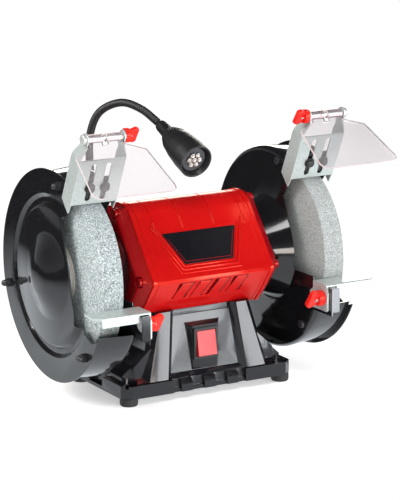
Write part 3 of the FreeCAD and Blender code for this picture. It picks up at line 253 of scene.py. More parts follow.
def bonded_grain():
    """Abrasive grain in its bond: light grains, pores and clumps of both; the darkening of the pores is painted shade.
    """
    def build(tree, given, result):
        grain = add(tree, "ShaderNodeTexVoronoi", {"Vector": given.outputs["Vector"],
                                                   "Scale": given.outputs["Scale"], "Randomness": 1.0})
        half = maths(tree, "MULTIPLY", given.outputs["Scale"], 0.43)
        lumps = add(tree, "ShaderNodeTexNoise", {"Vector": given.outputs["Vector"], "Scale": half, "Detail": 4.0,
                                                 "Roughness": 0.7})
        tone = add(tree, "ShaderNodeSeparateColor", {0: grain.outputs["Color"]}).outputs[0]
        pores = band(tree, lumps.outputs["Fac"], 0.56, 0.66)
        tree.links.new(tone, result.inputs["Grain"])
        tree.links.new(pores, result.inputs["Pores"])
        rise = maths(tree, "SUBTRACT", 1.0, grain.outputs["Distance"])
        tree.links.new(maths(tree, "SUBTRACT", rise, pores), result.inputs["Height"])
    return effect("Bonded grain", [("Vector", VECTOR, None), ("Scale", FLOAT, 700.0)],
                  [("Grain", FLOAT), ("Pores", FLOAT), ("Height", FLOAT)], build)


def surface(name, **plain):
    """A new material whose shader has the plain values set on its own sockets."""
    material = bpy.data.materials.new(name)
    material.use_nodes = True
    shader = material.node_tree.nodes["Principled BSDF"]
    for key, value in plain.items():
        label = key.replace("_", " ")
        shader.inputs[label].default_value = (*value, 1.0) if isinstance(value, tuple) else value
    return material, material.node_tree, shader


def bump(tree, shader, height, strength, distance):
    node = add(tree, "ShaderNodeBump", {"Height": height, "Strength": strength, "Distance": distance})
    tree.links.new(node.outputs["Normal"], shader.inputs["Normal"])


def coated(name, colour, gloss=(0.10, 0.20), peel=1100.0, peel_depth=0.00002, coat=0.6, scratch=0.25, dust=0.25,
           glint=(1.0, 1.0, 1.0), shine=0.5, metal=0.0):
    """Paint or moulded plastic with a soft ripple, hairline scratches and dust."""
    material, tree, shader = surface(name, Coat_Weight=coat, Coat_Roughness=0.06, Specular_Tint=glint,
                                     Specular_IOR_Level=shine, Metallic=metal)
    skin = placed(tree, orange_peel(), {"Scale": peel})
    marks = placed(tree, scuffs(), {"Amount": scratch})
    rough = band(tree, skin.outputs["Sheen change"], 0.3, 0.7, *gloss)
    rough = maths(tree, "ADD", rough, maths(tree, "MULTIPLY", marks.outputs["Scratch"], 0.25), clamp=True)
    tree.links.new(rough, shader.inputs["Roughness"])
    darker = tuple(c * 0.8 for c in colour)
    tone = mixed(tree, skin.outputs["Sheen change"], darker, colour)
    speck = maths(tree, "MULTIPLY", skin.outputs["Dust"], dust)
    tone = mixed(tree, speck, tone, (0.45, 0.44, 0.42))
    tree.links.new(tone, shader.inputs["Base Color"])
    bump(tree, shader, skin.outputs["Height"], 0.5, peel_depth)
    return material


def galvanised(name, colour, scale=200.0, metal=0.55):
    material, tree, shader = surface(name, Metallic=metal)
    zinc = placed(tree, spangle(), {"Scale": scale})
    marks = placed(tree, scuffs(), {"Amount": 0.6})
    low = tuple(c * 0.72 for c in colour)
    tone = mixed(tree, zinc.outputs["Tone"], low, colour)
    tree.links.new(tone, shader.inputs["Base Color"])
    rough = band(tree, zinc.outputs["Gloss"], 0.0, 1.0, 0.26, 0.42)
    rough = maths(tree, "ADD", rough, maths(tree, "MULTIPLY", marks.outputs["Scratch"], 0.12))
    tree.links.new(rough, shader.inputs["Roughness"])
    bump(tree, shader, zinc.outputs["Height"], 0.25, 0.00003)
    return material


def abrasive(name, light, dark, scale, contrast):
    material, tree, shader = surface(name, Specular_IOR_Level=0.25)
    grit = placed(tree, bonded_grain(), {"Scale": scale})
    spread = band(tree, grit.outputs["Grain"], 0.5 - contrast / 2.0, 0.5 + contrast / 2.0)
    tone = mixed(tree, spread, dark, light)
    # The pores are darkened towards near black: painted shade inside the pores.
    tone = mixed(tree, maths(tree, "MULTIPLY", grit.outputs["Pores"], 0.55), tone, tuple(c * 0.25 for c in dark))
    sparkle = band(tree, grit.outputs["Grain"], 0.94, 0.97)
    tone = mixed(tree, maths(tree, "MULTIPLY", sparkle, 0.5), tone, (0.85, 0.87, 0.86))
    tree.links.new(tone, shader.inputs["Base Color"])
    rough = band(tree, grit.outputs["Grain"], 0.0, 1.0, 0.95, 0.55)
    tree.links.new(rough, shader.inputs["Roughness"])
    bump(tree, shader, grit.outputs["Height"], 0.9, 0.0005)
    return material


def clear_sheet(name):
    """Clear polycarbonate: it lets light straight through, shines at grazing angles and has faint haze."""
    material, tree, shader = surface(name, Base_Color=(0.90, 0.86, 0.87), Roughness=0.35)
    skin = placed(tree, orange_peel(), {"Scale": 300.0})
    marks = placed(tree, scuffs(), {"Amount": 0.5})
    rough = maths(tree, "ADD", band(tree, skin.outputs["Sheen change"], 0.3, 0.7, 0.02, 0.07),
                  maths(tree, "MULTIPLY", marks.outputs["Scratch"], 0.2))
    through = add(tree, "ShaderNodeBsdfTransparent", {"Color": (0.965, 0.945, 0.95, 1.0)})
    shine = add(tree, "ShaderNodeBsdfGlossy", {"Color": (1.0, 1.0, 1.0, 1.0), "Roughness": rough})
    facing = add(tree, "ShaderNodeFresnel", {"IOR": 1.45}).outputs[0]
    sheet = add(tree, "ShaderNodeMixShader", {0: facing, 1: through.outputs[0], 2: shine.outputs[0]})
    haze = maths(tree, "ADD", band(tree, skin.outputs["Sheen change"], 0.35, 0.75, 0.05, 0.11),
                 maths(tree, "MULTIPLY", marks.outputs["Scratch"], 0.25))
    whole = add(tree, "ShaderNodeMixShader", {0: haze, 1: sheet.outputs[0], 2: shader.outputs[0]})
    tree.links.new(whole.outputs[0], tree.nodes["Material Output"].inputs["Surface"])
    return material


def sheet_rim(name):
    """Sawn rim of the clear sheet, where light gathers."""
    material, tree, shader = surface(name, Transmission_Weight=0.4, IOR=1.45)
    skin = placed(tree, orange_peel(), {"Scale": 900.0})
    tone = mixed(tree, skin.outputs["Sheen change"], (0.62, 0.46, 0.48), (0.86, 0.80, 0.80))
    tree.links.new(tone, shader.inputs["Base Color"])
    tree.links.new(band(tree, skin.outputs["Sheen change"], 0.3, 0.7, 0.25, 0.45), shader.inputs["Roughness"])
    bump(tree, shader, skin.outputs["Height"], 0.3, 0.00004)
    return material


def turned_steel(name, colour, rough=0.28):
    """Machined steel with fine tool marks."""
    material, tree, shader = surface(name, Metallic=1.0)
    marks = placed(tree, scuffs(), {"Amount": 1.0})
    skin = placed(tree, orange_peel(), {"Scale": 1600.0})
    tone = mixed(tree, skin.outputs["Sheen change"], tuple(c * 0.8 for c in colour), colour)
    tree.links.new(tone, shader.inputs["Base Color"])
    value = band(tree, skin.outputs["Sheen change"], 0.3, 0.7, rough - 0.06, rough + 0.1)
    value = maths(tree, "ADD", value, maths(tree, "MULTIPLY", marks.outputs["Scratch"], 0.15))
    tree.links.new(value, shader.inputs["Roughness"])
    bump(tree, shader, skin.outputs["Height"], 0.3, 0.00002)
    return material


def copper_wire(name):
    material, tree, shader = surface(name, Metallic=1.0)
    where = add(tree, "ShaderNodeTexCoord").outputs["Object"]
    turns = add(tree, "ShaderNodeTexWave", {"Vector": where, "Scale": 420.0, "Distortion": 1.5}, bands_direction="X")
    # The dark phase of the wave is painted shade in the grooves between turns; the bright phase is the copper colour.
    tone = mixed(tree, turns.outputs["Fac"], (0.20, 0.05, 0.02), (0.85, 0.36, 0.16))
    tree.links.new(tone, shader.inputs["Base Color"])
    tree.links.new(band(tree, turns.outputs["Fac"], 0.0, 1.0, 0.5, 0.25), shader.inputs["Roughness"])
    bump(tree, shader, turns.outputs["Fac"], 0.8, 0.0003)
    return material


def laminations(name):
    material, tree, shader = surface(name, Metallic=0.9)
    where = add(tree, "ShaderNodeTexCoord").outputs["Object"]
    sheets = add(tree, "ShaderNodeTexWave", {"Vector": where, "Scale": 300.0}, bands_direction="X")
    tone = mixed(tree, sheets.outputs["Fac"], (0.06, 0.06, 0.07), (0.32, 0.32, 0.34))
    tree.links.new(tone, shader.inputs["Base Color"])
    tree.links.new(band(tree, sheets.outputs["Fac"], 0.0, 1.0, 0.6, 0.35), shader.inputs["Roughness"])
    bump(tree, shader, sheets.outputs["Fac"], 0.6, 0.0001)
    return material


def pressed_paper(name):
    material, tree, shader = surface(name)
    skin = placed(tree, orange_peel(), {"Scale": 700.0})
    tone = mixed(tree, skin.outputs["Height"], (0.50, 0.47, 0.40), (0.68, 0.65, 0.57))
    tree.links.new(tone, shader.inputs["Base Color"])
    tree.links.new(band(tree, skin.outputs["Sheen change"], 0.3, 0.7, 0.8, 0.95), shader.inputs["Roughness"])
    bump(tree, shader, skin.outputs["Height"], 0.6, 0.0001)
    return material


def rubber(name, colour):
    material, tree, shader = surface(name, Specular_IOR_Level=0.35)
    skin = placed(tree, orange_peel(), {"Scale": 1500.0})
    tone = mixed(tree, skin.outputs["Sheen change"], colour, tuple(c + 0.012 for c in colour))
    tone = mixed(tree, maths(tree, "MULTIPLY", skin.outputs["Dust"], 0.6), tone, (0.3, 0.29, 0.27))
    tree.links.new(tone, shader.inputs["Base Color"])
    tree.links.new(band(tree, skin.outputs["Sheen change"], 0.3, 0.7, 0.45, 0.7), shader.inputs["Roughness"])
    bump(tree, shader, skin.outputs["Height"], 0.6, 0.00006)
    return material


def light_chip(name):
    """Lamp emitter: a clear dome over a pale yellow chip."""
    material, tree, shader = surface(name, Coat_Weight=1.0, Coat_Roughness=0.02)
    where = add(tree, "ShaderNodeTexCoord").outputs["Object"]
    cells = add(tree, "ShaderNodeTexVoronoi", {"Vector": where, "Scale": 420.0})
    tone = mixed(tree, band(tree, cells.outputs["Distance"], 0.1, 0.6), (0.9, 0.86, 0.80), (0.35, 0.28, 0.26))
    tree.links.new(tone, shader.inputs["Base Color"])
    tree.links.new(band(tree, cells.outputs["Distance"], 0.0, 0.6, 0.05, 0.3), shader.inputs["Roughness"])
    return material


FINISHES = {
    "red enamel": lambda: coated("Red enamel", tuple(colours().red_enamel), gloss=(0.15, 0.24), peel=700.0,
                                 peel_depth=0.00003, coat=0.0, glint=(1.0, 0.45, 0.25), shine=1.0,
                                 metal=0.25),
    # The end shields' red is a darker copy of the red enamel: painted shade.
    "end red painted shade": lambda: coated("End shield enamel, painted shade", tuple(colours().end_shield_shaded_red), gloss=(0.18, 0.30), peel=500.0,
                              peel_depth=0.00008, coat=0.0, glint=(1.0, 0.25, 0.15), shine=0.8),
    "black enamel": lambda: coated("Black enamel", tuple(colours().black_enamel), gloss=(0.07, 0.13),
                                   peel_depth=0.000012, coat=0.7, dust=0.12),
    "base black": lambda: coated("Base moulding", tuple(colours().base_black), gloss=(0.13, 0.22), peel=1900.0,
                                 peel_depth=0.00003, coat=0.3, dust=0.15),
    "knob red": lambda: coated("Knob plastic", tuple(colours().knob_red), gloss=(0.26, 0.40), peel=1500.0,
                               peel_depth=0.00004, coat=0.0, glint=(1.0, 0.45, 0.3), shine=0.7),
    "matt black": lambda: coated("Matt black plastic", (0.010, 0.010, 0.011), gloss=(0.32, 0.46), peel=2400.0,
                                 peel_depth=0.00006, coat=0.0),
    "neck skin": lambda: coated("Gooseneck skin", (0.010, 0.010, 0.011), gloss=(0.38, 0.52), peel=2000.0,
                                peel_depth=0.00005, coat=0.0),
    "black screws": lambda: coated("Blackened screws", (0.018, 0.018, 0.020), gloss=(0.24, 0.36), peel=2500.0,
                                   coat=0.2, scratch=0.8),
    "badge black": lambda: coated("Badge plate black", (0.004, 0.004, 0.006), gloss=(0.26, 0.36), coat=0.0, dust=0.05),
    "badge red": lambda: coated("Badge line red", (0.45, 0.004, 0.012), gloss=(0.2, 0.3), coat=0.2),
    "rocker red": lambda: coated("Rocker red", (0.50, 0.010, 0.012), gloss=(0.22, 0.42), peel=120.0,
                                 peel_depth=0.0006, coat=0.0, scratch=0.8, glint=(1.0, 0.8, 0.8), shine=0.6),
    "zinc": lambda: galvanised("Galvanised sheet", tuple(colours().zinc)),
    "zinc hardware": lambda: galvanised("Zinc hardware", (0.62, 0.63, 0.62), scale=500.0),
    "steel": lambda: turned_steel("Turned steel", (0.55, 0.55, 0.56)),
    "can metal": lambda: turned_steel("Drawn can", (0.62, 0.62, 0.63), rough=0.35),
    "coarse wheel": lambda: abrasive("Coarse wheel", tuple(colours().coarse_grain), (0.13, 0.16, 0.17), 1250.0, 0.8),
    "fine wheel": lambda: abrasive("Fine wheel", tuple(colours().fine_grain), (0.20, 0.22, 0.215), 1600.0, 1.0),
    "clear": lambda: clear_sheet("Clear polycarbonate"),
    "clear rim": lambda: sheet_rim("Clear sheet rim"),
    # Near-black red for the thin strips under the louvre pads: painted shadow in the louvre gaps.
    "louvre painted shadow": lambda: coated("Louvre painted shadow", (0.030, 0.001, 0.002), gloss=(0.4, 0.6), coat=0.0),
    "led plate": lambda: coated("Emitter plate", (0.035, 0.035, 0.04), gloss=(0.25, 0.4), peel=1800.0, coat=0.1),
    "copper": lambda: copper_wire("Enamelled wire"),
    "laminations": lambda: laminations("Stacked laminations"),
    "paper": lambda: pressed_paper("Pressed paper"),
    "rubber": lambda: rubber("Foot rubber", (0.012, 0.012, 0.012)),
    "bush": lambda: rubber("Moulded bush", (0.62, 0.62, 0.60)),
    "chip": lambda: light_chip("Lamp emitters"),
}


def finish(name):
    """The material of that finish, made the first time it is asked for."""
    made = bpy.context.scene.get("finish " + name)
    if made:
        return bpy.data.materials[made]
    material = FINISHES[name]()
    bpy.context.scene["finish " + name] = material.name
    return material


# ---- pieces ---------------------------------------------------------------------------------
def new_piece(name, bm, body, finish_name, smooth=35.0):
    """Turn a bmesh into a piece that rides on a body."""
    mesh = bpy.data.meshes.new(name)
    bm.to_mesh(mesh)
    bm.free()
    mesh.shade_smooth()
    mesh.set_sharp_from_angle(angle=math.radians(smooth))
    mesh.materials.append(finish(finish_name))
    piece = bpy.data.objects.new(name, mesh)
    bpy.context.scene.collection.objects.link(piece)
    if body:
        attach(piece, body)
    return piece


def slot_of(node):
    for part in frame["record"]["subparts"]:
        if part["node"] == node:
            return part["material_slot"]
    raise RuntimeError("no slot for " + node)


def body_of(node):
    return NODES[node]["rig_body"]


def softened(node, finish_name, edge=None, segments=2, smooth=32.0, flat=0.3):
    """The node's shape with clean faces, rounded edges and smooth shading."""
    bm = bmesh.new()
    bm.from_mesh(NODES[node].data)
    for layer in list(bm.loops.layers.uv):
        bm.loops.layers.uv.remove(layer)
    bmesh.ops.remove_doubles(bm, verts=bm.verts, dist=0.000004)
    bmesh.ops.dissolve_limit(bm, angle_limit=math.radians(flat), verts=bm.verts, edges=bm.edges)
    piece = new_piece(node + "_finished", bm, body_of(node), finish_name, smooth)
    width = sizes().cast_edge if edge is None else edge
    if width:
        bevel = piece.modifiers.new("Edges", "BEVEL")
        bevel.width = width
        bevel.segments = segments
        bevel.limit_method = "ANGLE"
        bevel.angle_limit = math.radians(smooth)
        bevel.use_clamp_overlap = True
        bevel.harden_normals = True
    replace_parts(piece, node)
    return piece


def plain_finish(finish_name, *nodes):
    """Give CAD nodes that stay their material."""
    for node in nodes:
        mesh = NODES[node].data
        mesh.materials.clear()
        mesh.materials.append(finish(finish_name))


MM = 0.001


def lathed(bm, profile, centre, axis, steps=96, closed=False):
    """Turn an (along, radius) outline about an axis; points on the axis become a single vertex."""
    axis = Vector(axis).normalized()
    side = axis.orthogonal().normalized()
    other = axis.cross(side)
    rings = []
    for along, radius in profile:
        middle = Vector(centre) + axis * along
        if radius <= 0.0:
            rings.append([bm.verts.new(middle)])
            continue
        rings.append([bm.verts.new(middle + side * (radius * math.cos(math.tau * i / steps))
                                   + other * (radius * math.sin(math.tau * i / steps))) for i in range(steps)])
    pairs = list(zip(rings, rings[1:]))
    if closed:
        pairs.append((rings[-1], rings[0]))
    for low, high in pairs:
        for i in range(steps):
            j = (i + 1) % steps
            corners = [low[i % len(low)], low[j % len(low)], high[j % len(high)], high[i % len(high)]]
            bm.faces.new(list(dict.fromkeys(corners)))
    bmesh.ops.recalc_face_normals(bm, faces=bm.faces)


def swept(bm, points, frames, section, closed=False):
    """Draw a section of (side, up) points along a path; frames gives side and up at every point."""
    rings = []
    for point, (side, up) in zip(points, frames):
        rings.append([bm.verts.new(point + side * a + up * b) for a, b in section])
    count = len(section)
    pairs = list(zip(rings, rings[1:]))
    if closed:
        pairs.append((rings[-1], rings[0]))
    for low, high in pairs:
        for i in range(count):
            j = (i + 1) % count
            bm.faces.new((low[i], low[j], high[j], high[i]))
    if not closed:
        bm.faces.new(rings[0][::-1])
        bm.faces.new(rings[-1])
    bmesh.ops.recalc_face_normals(bm, faces=bm.faces)


class Panel:
    """A flat side of the housing, with x along it and v up it from its lower edge."""

    def __init__(self, low, high):
        self.low = Vector((0.0, *low)) * MM
        self.up = (Vector((0.0, *high)) * MM - self.low).normalized()
        self.out = self.up.cross(Vector((1.0, 0.0, 0.0))) * (1.0 if low[0] < 0 else -1.0)
        if self.out.y * low[0] < 0:
            self.out = -self.out

    def at(self, x, v, rise=0.0):
        return Vector((x * MM, 0.0, 0.0)) + self.low + self.up * (v * MM) + self.out * (rise * MM)

    def bead(self, bm, path, width, height, sink=0.3, closed=False):
        """A rounded bead along a line of (x, v) points, with mitred corners."""
        count = len(path)
        points = [self.at(x, v) for x, v in path]
        frames = []
        for i in range(count):
            before = points[i] - points[i - 1] if i or closed else points[1] - points[0]
            after = points[(i + 1) % count] - points[i] if i < count - 1 or closed else before
            one = before.normalized().cross(self.out)
            two = after.normalized().cross(self.out)
            mitre = one + two
            mitre *= 2.0 / mitre.length_squared
            frames.append((mitre, self.out))
        half = width * MM / 2.0
        top = height * MM
        section = [(-half, -sink * MM), (-half, top * 0.2), (-half * 0.65, top * 0.75), (-half * 0.2, top),
                   (half * 0.2, top), (half * 0.65, top * 0.75), (half, top * 0.2), (half, -sink * MM)]
        swept(bm, points, frames, section, closed)

    def slab(self, bm, outline, low, high, edge=0.3):
        """A flat plate over an (x, v) outline, with a bevelled upper edge."""
        middle = Vector((sum(p[0] for p in outline), sum(p[1] for p in outline))) / len(outline)
        rings = []
        for rise, inset in ((low, 0.0), (high - edge * 0.7, 0.0), (high, edge)):
            ring = []
            for x, v in outline:
                toward = (middle - Vector((x, v))).normalized() * inset
                ring.append(bm.verts.new(self.at(x + toward.x, v + toward.y, rise)))
            rings.append(ring)
        for lower, upper in zip(rings, rings[1:]):
            for i in range(len(outline)):
                j = (i + 1) % len(outline)
                bm.faces.new((lower[i], lower[j], upper[j], upper[i]))
        bm.faces.new(rings[-1])
        bm.faces.new(rings[0][::-1])
        bmesh.ops.recalc_face_normals(bm, faces=bm.faces)


RIDGE, SHOULDER, CHAMFER, FOOT = (75.0, 135.5), (15.0, 209.5), (53.5, 107.0), (41.0, 93.0)


def housing_section(grow):
    """The housing's (y, z) outline, grown outwards, with its long edges rounded."""
    corners = [(SHOULDER, 28.0), (RIDGE, 4.5), (CHAMFER, 0.8), (FOOT, 0.8)]
    half = [(Vector((-y, z)), r) for (y, z), r in corners]
    outline = half + [(Vector((-p.x, p.y)), r) for p, r in reversed(half)]
    count = len(outline)
    lines = []
    for i in range(count):
        a, b = outline[i][0], outline[(i + 1) % count][0]
        way = (b - a).normalized()
        out = Vector((way.y, -way.x))
        if out.dot((a + b) / 2.0 - Vector((0.0, 150.0))) < 0.0:
            out = -out
        lines.append((a + out * grow, way))
    points = []
    for i in range(count):
        (p, d), (q, e) = lines[i - 1], lines[i]
        cross = d.x * e.y - d.y * e.x
        along = ((q - p).x * e.y - (q - p).y * e.x) / cross
        corner = p + d * along
        radius = outline[i][1] + grow
        turn = math.acos(max(-1.0, min(1.0, d.dot(e))))
        back = radius * math.tan(turn / 2.0)
        sign = 1.0 if cross > 0.0 else -1.0
        centre = corner - d * back + Vector((-d.y, d.x)) * sign * radius
        steps = 10 if radius > 10.0 else 5
        for k in range(steps + 1):
            angle = sign * turn * k / steps
            arm = corner - d * back - centre
            spun = Vector((arm.x * math.cos(angle) - arm.y * math.sin(angle),
                           arm.x * math.sin(angle) + arm.y * math.cos(angle)))
            points.append(centre + spun)
    return points


def hoop(bm, grow, x0, x1, edge=0.35):
    """A raised band round the housing between two x positions."""
    inner, low, high = housing_section(-0.6), housing_section(grow - edge), housing_section(grow)
    stations = [(inner, x0), (low, x0), (high, x0 + edge), (high, x1 - edge), (low, x1), (inner, x1)]
    rings = [[bm.verts.new(Vector((x, p.x, p.y)) * MM) for p in points] for points, x in stations]
    count = len(inner)
    for a, b in zip(rings, rings[1:] + rings[:1]):
        for i in range(count):
            j = (i + 1) % count
            bm.faces.new((a[i], a[j], b[j], b[i]))
    bmesh.ops.recalc_face_normals(bm, faces=bm.faces)


def curve_through(knots, steps):
    """A smooth line through a row of points."""
    ends = [knots[0] * 2.0 - knots[1]] + knots + [knots[-1] * 2.0 - knots[-2]]
    line = []
    for i in range(1, len(ends) - 2):
        a, b, c, d = ends[i - 1:i + 3]
        ta = (b - a).length ** 0.5
        tb = ta + (c - b).length ** 0.5
        tc = tb + (d - c).length ** 0.5
        for k in range(steps):
            t = ta + (tb - ta) * k / steps
            p = a.lerp(b, t / ta)
            q = b.lerp(c, (t - ta) / (tb - ta))
            r = c.lerp(d, (t - tb) / (tc - tb))
            line.append(p.lerp(q, t / tb).lerp(q.lerp(r, (t - ta) / (tc - ta)), (t - ta) / (tb - ta)))
    return line + [knots[-1]]


def nearest(line, point):
    return min(range(len(line)), key=lambda i: (line[i] - point).length)


def ringed_tube(bm, line, reach):
    """The gooseneck's skin: fine rings along a bent tube."""
    radius, pitch, ring = 4.25 * MM, sizes().neck_pitch, sizes().neck_ring
    total = reach[-1] - reach[0]
    count = max(8, int(total / pitch * 4.0))
    rows = []
    side = Vector((1.0, 0.0, 0.0))
    k = 0
    for step in range(count + 1):
        target = reach[0] + total * step / count
        while k < len(line) - 2 and reach[k + 1] < target:
            k += 1
        share = (target - reach[k]) / max(reach[k + 1] - reach[k], 1e-9)
        middle = line[k].lerp(line[k + 1], share)
        ahead = (line[k + 1] - line[k]).normalized()
        side = (side - ahead * side.dot(ahead)).normalized()
        up = ahead.cross(side)
        r = radius + ring * (0.5 + 0.5 * math.cos(math.tau * target / pitch))
        rows.append([bm.verts.new(middle + side * (r * math.cos(math.tau * i / 20)) + up * (r * math.sin(math.tau * i / 20)))
                     for i in range(20)])
    for low, high in zip(rows, rows[1:]):
        for i in range(20):
            j = (i + 1) % 20
            bm.faces.new((low[i], low[j], high[j], high[i]))
    bm.faces.new(rows[0][::-1])
    bm.faces.new(rows[-1])


class Step(bpy.types.Operator):
    """Base of the building steps."""
    bl_options = {"REGISTER"}

    def execute(self, context):
        self.make()
        return {"FINISHED"}


class GRINDER_OT_guards(Step):
    """Wheel guards with their bolts and cap nuts"""
    bl_idname = "grinder.guards"
    bl_label = "Guards"

    def make(self):
        for side in ("left", "right"):
            for part in ("_guard_drum", "_guard_cover"):
                softened(side + part, "black enamel", sizes().sheet_edge)
        for node in ("guard_bolts", "guard_nuts"):
            softened(node, "black screws", 0.0003)
        plain_finish("black screws", "guard_mount_screws")


class GRINDER_OT_housing(Step):
    """Motor housing, end shields, screws and badge"""
    bl_idname = "grinder.housing"
    bl_label = "Housing"

    def make(self):
        softened("motor_housing", "red enamel", sizes().cast_edge)
        # End shields and their screws take the darker red: painted shade.
        for side in ("left", "right"):
            softened(side + "_end_shield", "end red painted shade", sizes().cast_edge)
        softened("end_shield_screws", "end red painted shade", 0.0003)
        softened("badge_plate", "badge black", 0.0003)
        slot, body = slot_of("motor_housing"), body_of("motor_housing")
        bands = bmesh.new()
        for side in (-1.0, 1.0):
            for near, far, grow in ((71.0, 75.4, 1.1), (66.2, 68.2, 0.5)):
                hoop(bands, grow, *sorted((side * near, side * far)))
        new_piece("housing_bands", bands, body, "red enamel")
        ridges = bmesh.new()
        for facing in (-1.0, 1.0):
            edge = Panel((facing * (RIDGE[0] - 1.35), RIDGE[1] - 1.9), (facing * (RIDGE[0] - 1.35), RIDGE[1] + 1.9))
            edge.slab(ridges, [(-71.0, 0.3), (71.0, 0.3), (71.0, 3.5), (-71.0, 3.5)], -1.0, 1.0, 0.4)
        new_piece("housing_ridges", ridges, body, "red enamel")
        front = Panel((-RIDGE[0], RIDGE[1]), (-SHOULDER[0], SHOULDER[1]))
        beads = bmesh.new()
        for away, top, width, height in ((2.6, 61.0, 2.4, 1.1), (6.4, 66.0, 3.0, 1.4), (10.8, 40.0, 1.6, 0.8)):
            lean = 16.0 / 38.6
            spread = away * math.sqrt(1.0 + lean * lean)
            low = 18.7 - away

            def edge_x(v):
                return 30.0 + spread + (v - 18.7) * lean

            path = [(-edge_x(top), top), (-edge_x(low), low), (edge_x(low), low), (edge_x(top), top)]
            front.bead(beads, path[:3] if top < 50.0 else path, width, height)
        for rear in (False, True):
            slope = Panel((RIDGE[0], RIDGE[1]), (SHOULDER[0], SHOULDER[1])) if rear else front
            for x in (-52.0, -17.5, 22.0, 60.0):
                for k in range(7):
                    v = (62.5 if abs(x) < 40.0 else 58.0) + 2.1 * k
                    slope.bead(beads, [(x - 1.6, v), (x + 1.6, v)], 0.8, 0.5)
        new_piece("housing_beads", beads, body, "red enamel")
        line = bmesh.new()
        front.bead(line, [(-41.0, 50.0), (-28.2, 21.3), (28.2, 21.3), (41.0, 50.0)], 0.7, 1.0, sink=-0.75)
        new_piece("badge_line", line, body, "badge red")
        pads, painted_shadows = bmesh.new(), bmesh.new()
        for facing in (-1.0, 1.0):
            lower = Panel((facing * CHAMFER[0], CHAMFER[1]), (facing * RIDGE[0], RIDGE[1]))
            for x in (-34.0, -11.5, 11.5, 34.0):
                pad = [(x - 10.0, 6.0), (x + 3.0, 6.0), (x + 9.0, 30.0), (x - 4.0, 30.0)]
                # Each dark strip reaches past its pad, mostly on the right: a painted shadow along the louvre's edge.
                shade = [(x - 10.6, 5.2), (x + 5.2, 5.2), (x + 11.4, 30.6), (x - 4.6, 30.6)]
                lower.slab(painted_shadows, shade, -0.5, 0.12, 0.1)
                lower.slab(pads, pad, -0.4, 0.95)
        new_piece("louvre_pads", pads, body, "red enamel")
        new_piece("louvre_painted_shadows", painted_shadows, body, "louvre painted shadow")


class GRINDER_OT_wheels(Step):
    """Grinding wheels with flanges, nuts, bushes and blotters"""
    bl_idname = "grinder.wheels"
    bl_label = "Wheels"

    def make(self):
        for node, grain in (("left_wheel", "coarse wheel"), ("right_wheel", "fine wheel")):
            low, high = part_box(node)
            centre = (Vector(low) + Vector(high)) / 2.0
            half, radius, bore = (high[0] - low[0]) / 2.0, (high[2] - low[2]) / 2.0, 0.016
            edge = 0.0009
            profile = [(-half, bore), (-half, radius * 0.55), (-half, radius - edge * 2.0),
                       (-half + edge * 0.3, radius - edge * 0.7), (-half + edge, radius), (half - edge, radius),
                       (half - edge * 0.3, radius - edge * 0.7), (half, radius - edge * 2.0),
                       (half, radius * 0.55), (half, bore)]
            bm = bmesh.new()
            lathed(bm, profile, centre, (1.0, 0.0, 0.0), 160, closed=True)
            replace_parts(new_piece(node + "_turned", bm, body_of(node), grain), node)
        for node in ("inner_wheel_flanges", "outer_wheel_flanges", "spindle_nuts"):
            softened(node, "zinc hardware", 0.0004)
        plain_finish("bush", "wheel_bushes")
        plain_finish("paper", "wheel_blotters")
        plain_finish("steel", "spindle_shaft")


class GRINDER_OT_rests(Step):
    """Tool rests with their bolts and wing knobs"""
    bl_idname = "grinder.rests"
    bl_label = "Tool rests"

    def make(self):
        for side in ("left", "right"):
            softened(side + "_tool_rest", "zinc", sizes().sheet_edge)
            softened(side + "_rest_knob", "knob red", sizes().knob_edge)
        softened("rest_bolts", "zinc hardware", 0.0004)


class GRINDER_OT_deflectors(Step):
    """Deflector brackets, pivots, shield knobs and eye shields"""
    bl_idname = "grinder.deflectors"
    bl_label = "Deflectors and shields"

    def make(self):
        for side in ("left", "right"):
            softened(side + "_deflector_bracket", "zinc", sizes().sheet_edge)
            softened(side + "_pivot_bolt", "zinc hardware", 0.0003)
            softened(side + "_deflector_knob", "knob red", sizes().knob_edge)
            shield = softened(side + "_eye_shield", "clear", 0.0)
            shield.data.materials.append(finish("clear rim"))
            sheet = max(shield.data.polygons, key=lambda face: face.area).normal.copy()
            for face in shield.data.polygons:
                if abs(face.normal.dot(sheet)) < 0.9:
                    face.material_index = 1
        softened("deflector_screws", "black screws", 0.0003)


class GRINDER_OT_base(Step):
    """Base with its feet, switch and cable gland"""
    bl_idname = "grinder.base"
    bl_label = "Base and switch"

    def make(self):
        softened("base_housing", "base black", sizes().cast_edge)
        softened("rubber_feet", "rubber", 0.0005)
        softened("switch_bezel", "matt black", 0.0005)
        softened("switch_rocker", "rocker red", 0.0006)
        softened("cable_gland", "matt black", 0.0005)
        plain_finish("black enamel", "base_plate")
        plain_finish("steel", "housing_screws")
        plain_finish("matt black", "switch_body")


